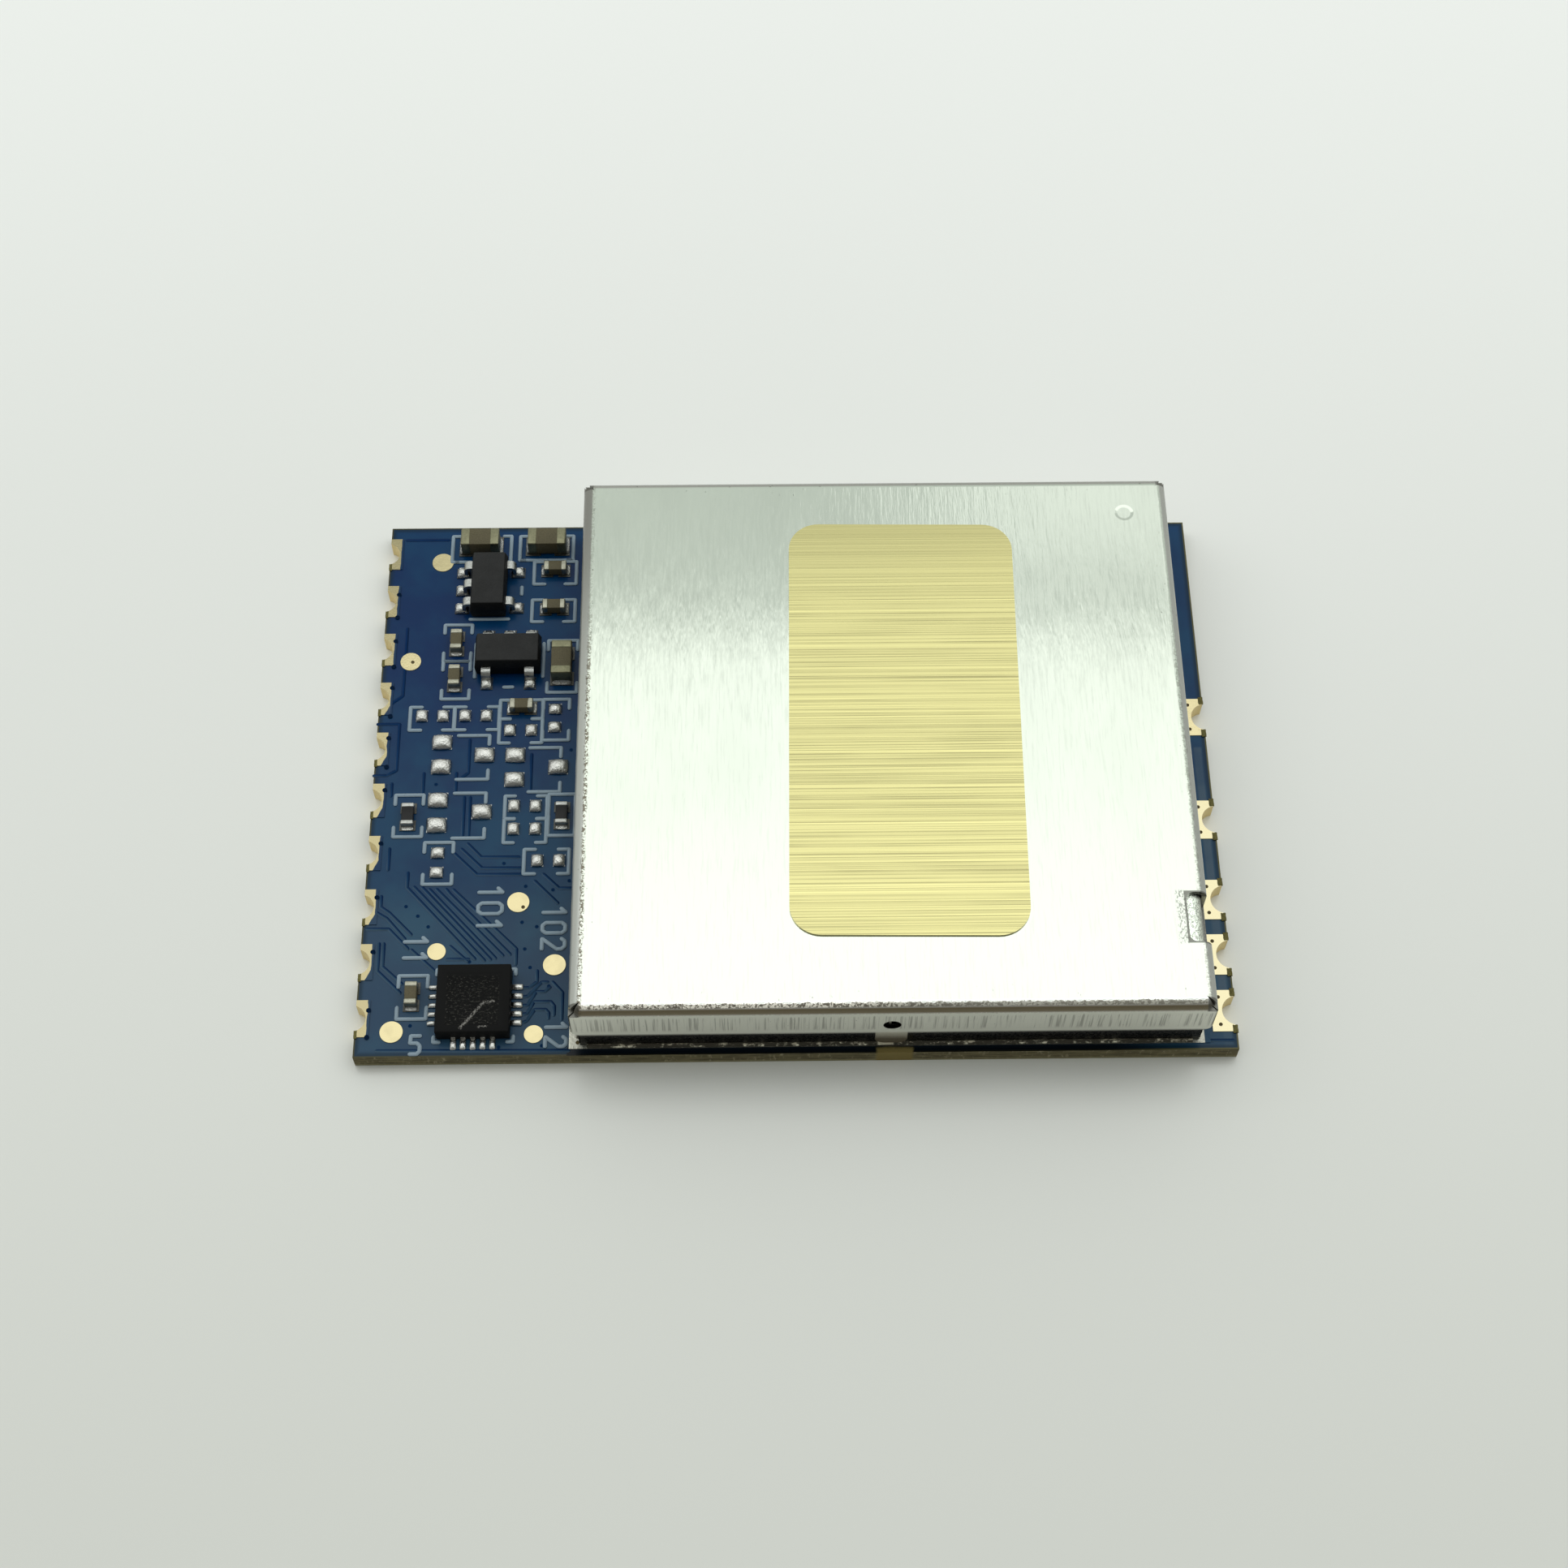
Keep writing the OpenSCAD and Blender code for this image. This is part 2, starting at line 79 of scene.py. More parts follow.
# Families of like parts beside the shield, with the length of one end cap and its finish
CAP_LENGTHS = {"bulk_capacitor": 0.4 * MM, "bypass_capacitor": 0.25 * MM, "resistor": 0.22 * MM}
CAP_FINISHES = {"bulk_capacitor": "end_tin", "bypass_capacitor": "cap_tin", "resistor": "lead_tin"}
REGULATORS = ("regulator_1", "regulator_2")
INNER_FINISHES = {
    "transmitter_chip": "moulding",
    "transmitter_chip_terminals": "end_tin",
    "amplifier_chip": "moulding",
    "amplifier_chip_terminals": "end_tin",
    "crystal_base": "pale_ceramic",
    "crystal_cap": "end_tin",
    "choke_body": "ferrite",
    "choke_terminals": "end_tin",
    "filter_capacitor_1_body": "ceramic",
    "filter_capacitor_1_terminals": "end_tin",
    "filter_capacitor_2_body": "ceramic",
    "filter_capacitor_2_terminals": "end_tin",
}

# Silkscreen marks, in millimetres on the board.
# Bracket pairs round two-ended footprints: x, y, turn, reach from the middle, half width, length of a stub
BRACKETS = [
    (-13.88, 11.82, 0, 1.32, 0.70, 0.34), (-10.95, 11.85, 0, 1.20, 0.65, 0.30),
    (-10.05, 5.55, 90, 1.34, 0.65, 0.50), (-10.52, 10.50, 0, 0.95, 0.60, 0.50),
    (-10.54, 8.47, 0, 0.96, 0.58, 0.50), (-14.72, 6.80, 90, 0.95, 0.60, 0.44),
    (-14.71, 4.88, 90, 0.97, 0.60, 0.46), (-11.77, 3.35, 0, 0.93, 0.48, 0.46),
    (-11.77, 2.27, 0, 0.93, 0.61, 0.46), (-10.25, 2.82, 90, 1.03, 0.57, 0.48),
    (-15.64, 2.92, 0, 0.97, 0.58, 0.50), (-13.71, 2.92, 0, 0.98, 0.58, 0.50),
    (-16.39, -1.89, 90, 1.01, 0.60, 0.46), (-11.40, -1.53, 0, 0.90, 0.56, 0.43),
    (-11.40, -2.65, 0, 0.90, 0.58, 0.43), (-9.86, -1.90, 90, 1.00, 0.57, 0.98),
    (-15.01, -4.18, 90, 0.99, 0.61, 0.47), (-10.44, -4.14, 0, 0.95, 0.58, 0.47),
    (-15.73, -10.36, 90, 0.97, 0.60, 0.52),
]
# Marks round a three-land footprint: x and y of its single land
THREE_LANDS = [(-13.10, 0.96), (-9.98, 0.32), (-13.13, -1.90)]
THREE_LAND_BAR = 1.36
THREE_LAND_HALF = 1.09
THREE_LAND_LEG = 0.46
# Straight strokes that belong to no footprint pattern
LOOSE_STROKES = [[(-12.13, 11.20), (-9.72, 11.20)], [(-15.05, 11.12), (-14.35, 11.12)]]
# Plain pad numbers: text, x and y of its first digit's lower left corner, turn, height
PAD_NUMBERS = [
    ("101", -13.22, -5.30, -90, 1.00), ("102", -10.50, -6.28, -90, 0.95), ("11", -16.20, -7.58, -90, 0.95),
    ("12", -10.22, -11.52, -90, 0.85), ("5", -15.70, -12.88, 0, 0.80),
]
# Strokes of a digit on a field two wide and four high
DIGIT_STROKES = {
    "0": [(0.5, 0), (1.5, 0), (2, 0.6), (2, 3.4), (1.5, 4), (0.5, 4), (0, 3.4), (0, 0.6), (0.5, 0)],
    "1": [(0.3, 3.2), (1.1, 4), (1.1, 0)],
    "2": [(0, 3.4), (0.5, 4), (1.5, 4), (2, 3.4), (2, 2.6), (0, 0), (2, 0)],
    "5": [(2, 4), (0.1, 4), (0, 2.4), (1.4, 2.4), (2, 1.8), (2, 0.6), (1.4, 0), (0, 0)],
}
DIGIT_STEP = 3.1
DIGIT_HEIGHT = 4

# Copper tracks that show as low ridges under the mask, in millimetres on the board
TRACKS = [
    [(-18.0, 2.67), (-17.05, 2.67), (-17.05, 0.35), (-17.45, 0.10), (-18.0, 0.10)],
    [(-17.2, -0.30), (-17.2, -0.90)], [(-17.1, -3.45), (-17.1, -4.45)],
    [(-13.80, -3.25), (-13.20, -3.90), (-11.60, -3.90)],
    [(-14.05, -3.50), (-13.15, -4.42), (-11.50, -4.42)],
    [(-14.40, -3.65), (-13.35, -4.72), (-11.50, -4.72)],
    [(-16.25, -4.60), (-16.25, -5.30), (-13.25, -8.65)],
    [(-15.95, -5.28), (-12.85, -8.72)], [(-15.62, -5.30), (-12.60, -8.68)],
    [(-15.30, -5.40), (-12.40, -8.62)], [(-15.00, -5.40), (-12.10, -8.50)],
    [(-14.60, -5.40), (-14.45, -5.60), (-11.80, -8.45)],
    [(-14.30, -5.42), (-11.55, -8.20), (-11.55, -8.90)],
    [(-10.90, -5.05), (-9.90, -6.10)], [(-10.55, -4.72), (-9.87, -5.40), (-9.30, -5.40)],
    [(-17.30, -5.70), (-17.30, -6.20), (-16.90, -6.50), (-15.95, -7.50)],
    [(-17.55, -6.40), (-17.0, -6.75), (-16.20, -7.70)],
    [(-17.80, -7.23), (-16.90, -7.23), (-16.05, -8.15)],
    [(-17.25, -7.90), (-17.25, -9.15), (-16.25, -10.15)],
    [(-17.05, -7.90), (-17.05, -8.95), (-16.20, -9.75)],
    [(-15.90, -8.20), (-14.60, -9.45)], [(-14.40, -8.65), (-13.50, -8.65)],
    [(-14.30, -8.05), (-13.55, -8.75)],
    [(-11.24, -9.97), (-10.95, -9.97), (-10.65, -9.70), (-10.65, -9.20)],
    [(-11.24, -10.40), (-11.0, -10.35), (-10.45, -9.72), (-10.20, -9.72)],
    [(-11.24, -10.78), (-11.0, -10.75), (-10.66, -10.15), (-10.30, -10.15), (-10.10, -9.95)],
    [(-11.22, -11.17), (-11.0, -11.12), (-10.74, -10.60), (-10.05, -10.60), (-9.90, -10.80),
     (-9.90, -11.20)],
    [(-11.20, -11.56), (-11.0, -11.45), (-10.70, -10.95), (-10.25, -10.95), (-10.12, -11.10),
     (-10.12, -11.35)],
    [(-10.0, -9.72), (-9.58, -10.20), (-9.58, -11.40)], [(-17.05, -12.72), (-9.25, -12.78)],
    [(-14.85, 2.05), (-14.85, 1.70)], [(-13.95, 1.85), (-13.95, 0.20), (-14.35, -0.15)],
    [(-14.05, -1.00), (-14.05, -2.85)], [(-13.80, -1.00), (-13.80, -2.85)],
    [(-15.85, 0.20), (-15.85, -0.85)], [(-14.45, 0.20), (-14.45, -0.85)],
    [(-11.25, 1.10), (-11.25, -0.65)], [(-17.0, 7.6), (-17.0, 4.1), (-17.6, 3.6)],
    [(-17.3, 12.35), (-15.4, 12.35)], [(15.7, -12.62), (17.80, -12.62)],
]
# Plated through holes, in millimetres: under the mask, open in a land, and at the left lands' inner corners
MASKED_VIAS = [
    (-16.24, -6.19), (-15.72, -6.64), (-15.26, -7.14), (-11.27, -5.29), (-11.36, -6.97), (-10.74, -7.18),
    (-10.12, -5.47), (-12.23, -4.20), (-11.20, -8.20), (-10.95, -9.05), (-10.15, -9.90), (-15.75, -11.62),
    (-10.35, -12.55), (-12.10, -12.60), (-15.30, -0.35), (-9.55, 1.30), (-9.45, -5.05), (-13.47, -8.77),
]
LAND_VIAS = [(-16.66, 5.82), (-11.34, -6.28), (-8.90, -12.45)]
CORNER_VIA_X = -17.48
CORNER_VIA_Y = (9.38, 8.18, 6.92, 5.60, 4.50, 3.06, 1.95, 0.52, -0.63, -3.21, -5.77, -8.29, -10.93, -12.12)
# The right lands' own holes: distance in from a land's inner end, and from its middle along the edge
LAND_VIA_IN = 0.34
LAND_VIA_APART = 0.61

# The lid's pry notch: its depth in from the right edge, half its length and its middle along Y
NOTCH_IN = 0.92 * MM
NOTCH_HALF = 1.1 * MM
NOTCH_Y = -8.85 * MM
# The bright solder under the near lock tab
TAB_BEAD_X = 3.62 * MM
# The tongue in the near lock hole, which carries a painted highlight
LOCK_X = 3.72 * MM
# Scratches on the control chip, in millimetres: start, run and width
CHIP_SCRATCHES = [
    (-13.60, -12.08, 0.88, 1.11, 0.10), (-12.72, -10.97, 0.44, 0.06, 0.08),
    (-12.86, -12.05, 0.32, 0.03, 0.07),
]

# What the lacquer's colour gains as painted sheen at the far end, towards the viewer, along the front and
# beside the right contacts, and as a painted highlight on the near slope of a track
FAR_TONE = (0.0, 0.001, 0.001)
NEAR_TONE = (0.0065, 0.0135, 0.002)
FRONT_TONE = (0.015, 0.020, 0.012)
RIGHT_TONE = (0.003, 0.016, 0.024)
LIT_TONE = (0.045, 0.059, 0.068)
# Where these tones set in and are full, in millimetres along Y, Y and X
NEAR_RANGE = (7, -5)
FRONT_RANGE = (-4.5, -7.5)
RIGHT_RANGE = (14, 16)
# The direction that a track's slopes with the painted highlight face, on X and Y
NEAR_LEFT = (-0.6, -0.8)
# The painted highlight that the gold of the near right lands gains over the rest, colour by colour
RIGHT_GOLD = (1.07, 1.11, 1.23)

# Tints of the board's marks: pale bundles of fibre, the cut sides' lower edge, the strip beside the right
# contacts, the lacquer's border, the painted shadow in front of the shield, the painted shade on a track's
# far slope and the painted shade in a hole's mouth
FIBRE_TINT = (0.34, 0.30, 0.19)
FOOT_TINT = (0.33, 0.30, 0.17)
STRIP_TINT = (0.056, 0.098, 0.146)
BORDER_TINT = (0.002, 0.018, 0.038)
FRONT_SHADOW_TINT = (0.002, 0.003, 0.004)
SHADED_SLOPE_TINT = (0.0012, 0.0145, 0.057)
VIA_TINTS = ((0.0006, 0.007, 0.024), (0.0012, 0.012, 0.038))
# Tints of the tinned pieces' marks, each named for where it lies. The lid near, skirt, shoulder, crumb and
# tongue tints are painted light; the fold, olive, corner, notch rim, sill, tab, lip, bore, crease, flange
# turn, gap, front wall and component land tints are painted shade.
RING_TINTS = ((0.41, 0.40, 0.345), (0.50, 0.49, 0.42))
LID_NEAR_TINT = (0.61, 0.632, 0.562)
SKIRT_TINT = (0.715, 0.72, 0.645)
FAR_FOLD_TINT = (0.34, 0.34, 0.31)
LEFT_FOLD_TINTS = ((0.235, 0.23, 0.205), (0.46, 0.465, 0.43))
RIGHT_FOLD_TINT = (0.36, 0.365, 0.335)
SHOULDER_TINT = (1.0, 1.0, 0.96)
OLIVE_TINT = (0.18, 0.146, 0.088)
CRUMB_HIGHLIGHT_TINTS = ((1.0, 0.94, 0.83), (0.55, 0.53, 0.46))
PIT_TINT = (0.085, 0.066, 0.042)
CORNER_TINT = (0.09, 0.085, 0.07)
SPECK_TINT = (0.10, 0.10, 0.085)
SCRIBBLE_TINT = (0.13, 0.13, 0.115)
NOTCH_RIM_TINT = (0.12, 0.12, 0.105)
SILL_TINT = (0.10, 0.10, 0.09)
SCUFF_TINT = (0.27, 0.265, 0.235)
TAB_TINTS = ((0.48, 0.455, 0.375), (0.085, 0.064, 0.032))
LIP_TINT = (0.05, 0.046, 0.04)
BORE_TINT = (0.012, 0.011, 0.009)
CREASE_TINT = (0.10, 0.10, 0.09)
FLANGE_TURN_TINT = (0.22, 0.22, 0.20)
GAP_TINT = (0.04, 0.04, 0.036)
FRONT_WALL_TINTS = ((0.010, 0.010, 0.012), (0.06, 0.056, 0.05))
WALL_TINTS = ((0.20, 0.20, 0.185), (0.26, 0.26, 0.24))
TONGUE_TINT = (0.62, 0.60, 0.51)
FLUX_TINT = (0.06, 0.053, 0.036)
FLECK_TINT = (0.74, 0.69, 0.54)
CHIP_PIT_TINT = (0.12, 0.115, 0.10)
SCRATCH_TINT = (0.42, 0.40, 0.37)
CAP_TIN_TINT = (0.36, 0.35, 0.28)
SHADED_LAND_TINT = (0.09, 0.088, 0.08)
LAND_VIA_TINT = (0.10, 0.072, 0.026)
FLOOR_CLOUD_TINT = (0.6, 0.6, 0.57)

# The camera's place and directions in the part's frame, found from the board's corners and the contact pitch
CAMERA_PLACE = Vector((-1.383, -53.469, 95.831)) * MM
CAMERA_RIGHT = Vector((0.99992, -0.01244, 0.00385))
CAMERA_UP = Vector((0.00899, 0.87333, 0.48705))
CAMERA_BACK = Vector((-0.00942, -0.48698, 0.87336))
SENSOR_WIDTH = 36


# Settings


class ModuleSizes(PropertyGroup):
    """Sizes of the looks that the frame doesn't hold."""

    silk_width: FloatProperty(
        name="Silkscreen Line", description="Width of a silkscreen line", default=0.165 * MM, unit="LENGTH",
        precision=6)
    silk_rise: FloatProperty(
        name="Silkscreen Rise", description="Height of the ink over the mask", default=0.044 * MM,
        unit="LENGTH", precision=6)
    track_width: FloatProperty(
        name="Track", description="Width of a copper track", default=0.16 * MM, unit="LENGTH", precision=6)
    track_rise: FloatProperty(
        name="Track Rise", description="Height of a masked track over the board", default=0.038 * MM,
        unit="LENGTH", precision=6)
    solder_rise: FloatProperty(
        name="Solder Rise",
        description="Height of the solder on a spare land, as a share of its shorter side", default=0.40,
        subtype="FACTOR", min=0.1, max=0.6)
    foot_solder: FloatProperty(
        name="Foot Solder",
        description="Height of the solder against an end cap, as a share of the cap's height", default=0.32,
        subtype="FACTOR", min=0.1, max=0.9)
    ceramic_round: FloatProperty(
        name="Ceramic Edge", description="Edge radius of a chip part's body", default=0.03 * MM,
        unit="LENGTH", precision=6)
    cap_round: FloatProperty(
        name="Cap Edge", description="Edge radius of an end cap", default=0.06 * MM, unit="LENGTH",
        precision=6)
    mould_round: FloatProperty(
        name="Moulding Edge", description="Edge radius of a moulded package", default=0.05 * MM,
        unit="LENGTH", precision=6)
    burr_width: FloatProperty(
        name="Burr Width", description="Width of the milled laminate at a right contact's end",
        default=0.20 * MM, unit="LENGTH", precision=6)
    burr_length: FloatProperty(
        name="Burr Length", description="Length of the milled laminate along the edge", default=0.34 * MM,
        unit="LENGTH", precision=6)
    via_width: FloatProperty(
        name="Via", description="Width of a plated through hole", default=0.22 * MM, unit="LENGTH",
        precision=6)


class ModuleColours(PropertyGroup):
    """Colours of the finishes."""

    mask: FloatVectorProperty(
        name="Solder Mask", description="Blue lacquer of the board", subtype="COLOR",
        default=(0.0002, 0.0205, 0.089))
    mask_pale: FloatVectorProperty(
        name="Mask over Copper", description="Lacquer where copper lies under it", subtype="COLOR",
        default=(0.0020, 0.0375, 0.108))
    laminate: FloatVectorProperty(
        name="Laminate", description="Glass-fibre laminate on the cut sides", subtype="COLOR",
        default=(0.195, 0.168, 0.086))
    bare_laminate: FloatVectorProperty(
        name="Bare Laminate", description="Laminate where the lacquer is missing", subtype="COLOR",
        default=(0.24, 0.185, 0.062))
    burr: FloatVectorProperty(
        name="Milled Laminate", description="Laminate left ragged at the contacts' ends", subtype="COLOR",
        default=(0.17, 0.148, 0.045))
    gold: FloatVectorProperty(
        name="Gold", description="Gold of the contacts and test pads", subtype="COLOR",
        default=(0.53, 0.455, 0.26))
    hole: FloatVectorProperty(
        name="Hole Wall", description="Plating of a half hole, milled and dull", subtype="COLOR",
        default=(0.85, 0.70, 0.37))
    solder: FloatVectorProperty(
        name="Solder", description="Bright solder", subtype="COLOR", default=(0.66, 0.65, 0.62))
    end_tin: FloatVectorProperty(
        name="End Cap", description="Matt tin on a large end cap", subtype="COLOR",
        default=(0.212, 0.205, 0.130))
    lead_tin: FloatVectorProperty(
        name="Lead Tin", description="Matt tin on leads and lands", subtype="COLOR",
        default=(0.42, 0.42, 0.40))
    sheet: FloatVectorProperty(
        name="Tinned Sheet", description="Tinned steel of the shield", subtype="COLOR",
        default=(0.56, 0.595, 0.52))
    foil: FloatVectorProperty(
        name="Foil", description="Gold foil of the label", subtype="COLOR", default=(0.612, 0.561, 0.262))
    ink: FloatVectorProperty(
        name="Ink", description="Silkscreen ink", subtype="COLOR", default=(0.23, 0.30, 0.36))
    moulding: FloatVectorProperty(
        name="Moulding", description="Black moulding compound", subtype="COLOR",
        default=(0.009, 0.009, 0.009))
    ceramic: FloatVectorProperty(
        name="Ceramic", description="Capacitor ceramic", subtype="COLOR", default=(0.112, 0.095, 0.052))
    glaze: FloatVectorProperty(
        name="Glaze", description="Black glaze of a resistor", subtype="COLOR",
        default=(0.012, 0.011, 0.011))
    pale_ceramic: FloatVectorProperty(
        name="Pale Ceramic", description="Base of the crystal", subtype="COLOR", default=(0.62, 0.58, 0.50))
    ferrite: FloatVectorProperty(
        name="Ferrite", description="Body of the choke", subtype="COLOR", default=(0.05, 0.05, 0.052))


class ModuleStage(PropertyGroup):
    """Floor, light and camera."""

    lens: FloatProperty(
        name="Lens", description="Focal length in millimetres", default=58.12, min=10, max=300)
    floor_colour: FloatVectorProperty(
        name="Floor", description="Pale floor behind the module", subtype="COLOR", default=(1.0, 1.0, 0.98))
    # The floor before the module: a painted shade of the floor behind it
    floor_near: FloatVectorProperty(
        name="Near Floor", description="Pale floor before the module", subtype="COLOR",
        default=(0.645, 0.645, 0.60))
    floor_size: FloatProperty(
        name="Floor Size", description="Width of the floor", default=6.0, unit="LENGTH")
    sky_colour: FloatVectorProperty(
        name="Sky", description="Light from above and behind", subtype="COLOR", default=(0.87, 0.93, 0.90))
    front_colour: FloatVectorProperty(
        name="Front", description="Dimmer light from the viewer's side", subtype="COLOR",
        default=(0.07, 0.065, 0.055))
    front_low: FloatVectorProperty(
        name="Low Front", description="Light from low down on the viewer's side", subtype="COLOR",
        default=(0.24, 0.24, 0.225))
    front_rim: FloatVectorProperty(
        name="Front Rim", description="Light along the floor's end on the viewer's side", subtype="COLOR",
        default=(0.325, 0.345, 0.315))
    horizon_colour: FloatVectorProperty(
        name="Horizon", description="Light from low down behind", subtype="COLOR",
        default=(0.85, 0.87, 0.83))
    key_power: FloatProperty(
        name="Key", description="Power of the soft light overhead", default=1.37, unit="POWER")
    key_size: FloatVectorProperty(
        name="Key Size", description="Width and depth of the soft light", size=2, default=(1.60, 0.322),
        unit="LENGTH")
    key_place: FloatVectorProperty(
        name="Key Place", description="Middle of the soft light", subtype="TRANSLATION",
        default=(0.0, 0.161, 0.50))
    side_power: FloatProperty(
        name="Side", description="Power of the small light behind to the right", default=0.052, unit="POWER")
    side_size: FloatVectorProperty(
        name="Side Size", description="Width and depth of the small light", size=2, default=(0.30, 0.12),
        unit="LENGTH")
    side_place: FloatVectorProperty(
        name="Side Place", description="Middle of the small light", subtype="TRANSLATION",
        default=(0.20, 0.402, 0.50))


# Modelling helpers


def deselect():
    """Leaves edit mode and drops every selection."""
    if bpy.context.object and bpy.context.object.mode != "OBJECT":
        bpy.ops.object.mode_set(mode="OBJECT")
    bpy.ops.object.select_all(action="DESELECT")


def take(piece):
    """Makes one piece the only selected and active one."""
    deselect()
    piece.select_set(True)
    bpy.context.view_layer.objects.active = piece


def edit(piece):
    """Opens a piece in edit mode."""
    take(piece)
    bpy.ops.object.mode_set(mode="EDIT")


def close():
    """Returns to object mode."""
    bpy.ops.object.mode_set(mode="OBJECT")


def pick(piece, kind, test):
    """Selects the edges or faces of a piece in edit mode whose middle and corners pass a test."""
    bpy.ops.mesh.select_mode(type=kind)
    bpy.ops.mesh.select_all(action="DESELECT")
    mesh = bmesh.from_edit_mesh(piece.data)
    for item in {"EDGE": mesh.edges, "FACE": mesh.faces}[kind]:
        corners = list(item.verts)
        middle = sum((v.co for v in corners), Vector()) / len(corners)
        item.select_set(bool(test(middle, corners)))
    mesh.select_flush_mode()
    bmesh.update_edit_mesh(piece.data)


def settle_place():
    """Puts the active piece's place, turn and size into its mesh."""
    bpy.ops.object.transform_apply(location=True, rotation=True, scale=True)


def add_block(name, lo, hi):
    """A cube primitive at the size and place of a box."""
    deselect()
    bpy.ops.mesh.primitive_cube_add(size=1, location=(Vector(lo) + Vector(hi)) / 2)
    block = bpy.context.object
    block.name = block.data.name = name
    block.scale = Vector(hi) - Vector(lo)
    settle_place()
    return block


def round_edges(piece, radius, segments=3, test=lambda middle, corners: True):
    """Bevels the edges of a piece that pass a test, and shades it smooth over the soft edges."""
    edit(piece)
    pick(piece, "EDGE", test)
    bpy.ops.mesh.bevel(offset=radius, segments=segments, profile=0.5, affect="EDGES", clamp_overlap=True)
    close()
    smooth(piece)


def smooth(piece, angle=40):
    """Shades a piece smooth, with creases past an angle in degrees."""
    take(piece)
    bpy.ops.object.shade_smooth_by_angle(angle=math.radians(angle))


def subdivide_surface(piece, levels):
    """Rounds a piece with an applied subdivision surface."""
    take(piece)
    modifier = piece.modifiers.new("subsurf", "SUBSURF")
    modifier.levels = modifier.render_levels = levels
    bpy.ops.object.modifier_apply(modifier=modifier.name)


def copy_of(template, name, matrix):
    """A copy of a template with its own mesh, placed by a matrix that goes into the mesh."""
    mesh = template.data.copy()
    mesh.transform(matrix)
    mesh.name = name
    piece = bpy.data.objects.new(name, mesh)
    bpy.context.scene.collection.objects.link(piece)
    return piece


def join(pieces, name):
    """Joins pieces into one object with a new name."""
    deselect()
    for piece in pieces:
        piece.select_set(True)
    bpy.context.view_layer.objects.active = pieces[0]
    bpy.ops.object.join()
    joined = bpy.context.object
    joined.name = joined.data.name = name
    return joined


def discard(*templates):
    """Removes templates that have been copied."""
    for template in templates:
        bpy.data.objects.remove(template)


def settle(piece, finish, slot, *nodes):
    """Gives a finished piece its material and body, and hides the nodes that it stands for; its slot is not
    used.
    """
    piece.data.materials.clear()
    piece.data.materials.append(finish)
    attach(piece, BODY)
    if nodes:
        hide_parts(*nodes)


def dress(node, finish):
    """Gives a CAD node that keeps its shape a better finish."""
    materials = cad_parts[node].data.materials
    materials.clear()
    materials.append(finish)


def solids_of(node):
    """The boxes of a node's separate solids, found by walking its triangles, in metres."""
    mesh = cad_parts[node].data
    places = [tuple(round(c / MM, 3) for c in v.co) for v in mesh.vertices]
    parent = {place: place for place in places}

    def root(place):
        while parent[place] != place:
            parent[place] = parent[parent[place]]
            place = parent[place]
        return place

    for face in mesh.polygons:
        corners = [places[i] for i in face.vertices]
        for corner in corners[1:]:
            parent[root(corner)] = root(corners[0])
    groups = {}
    for place in parent:
        groups.setdefault(root(place), []).append(place)
    boxes = []
    for group in groups.values():
        lo = Vector([min(p[k] for p in group) for k in range(3)]) * MM
        hi = Vector([max(p[k] for p in group) for k in range(3)]) * MM
        boxes.append((lo, hi))
    return sorted(boxes, key=lambda box: (round(box[0].x, 6), round(box[0].y, 6)))


def inside(point, lo, hi):
    """Whether a point lies in a box, seen from above."""
    return lo.x <= point.x <= hi.x and lo.y <= point.y <= hi.y


def long_axis(lo, hi):
    """The axis along which a box is longer, seen from above: 0 for X and 1 for Y."""
    return 0 if hi.x - lo.x > hi.y - lo.y else 1


def family_of(part):
    """A numbered part's name without its number."""
    return part.rsplit("_", 1)[0]


def chip_parts():
    """Names of the two-ended chip parts beside the shield."""
    suffix = "_terminals"
    names = [node[:-len(suffix)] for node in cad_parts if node.endswith(suffix)]
    return sorted(name for name in names if family_of(name) in CAP_LENGTHS)


def stroke_piece(name, strokes, width, rise, base):
    """Low rounded ridges along strokes, each a list of points in millimetres on the plane z = base."""
    curve = bpy.data.curves.new(name, "CURVE")
    curve.dimensions = "3D"
    curve.bevel_depth = width / 2
    curve.bevel_resolution = 2
    curve.use_fill_caps = True
    # Each straight run ends in a short tip that is narrower than the line
    tip = 0.36 * width
    tip_radius = 0.55
    for points in strokes:
        for start, end in zip(points, points[1:]):
            a = Vector((*start, 0)) * MM
            b = Vector((*end, 0)) * MM
            along = (b - a).normalized() * tip
            spline = curve.splines.new("POLY")
            spline.points.add(3)
            radii = (tip_radius, 1, 1, tip_radius)
            for point, place, radius in zip(spline.points, (a - along, a, b, b + along), radii):
                point.co = (*place, 1)
                point.radius = radius
    piece = bpy.data.objects.new(name, curve)
    bpy.context.scene.collection.objects.link(piece)
    take(piece)
    bpy.ops.object.convert(target="MESH")
    piece = bpy.context.object
    piece.scale.z = 2 * rise / width
    piece.location.z = base
    settle_place()
    smooth(piece, 60)
    return piece


# Node tree helpers


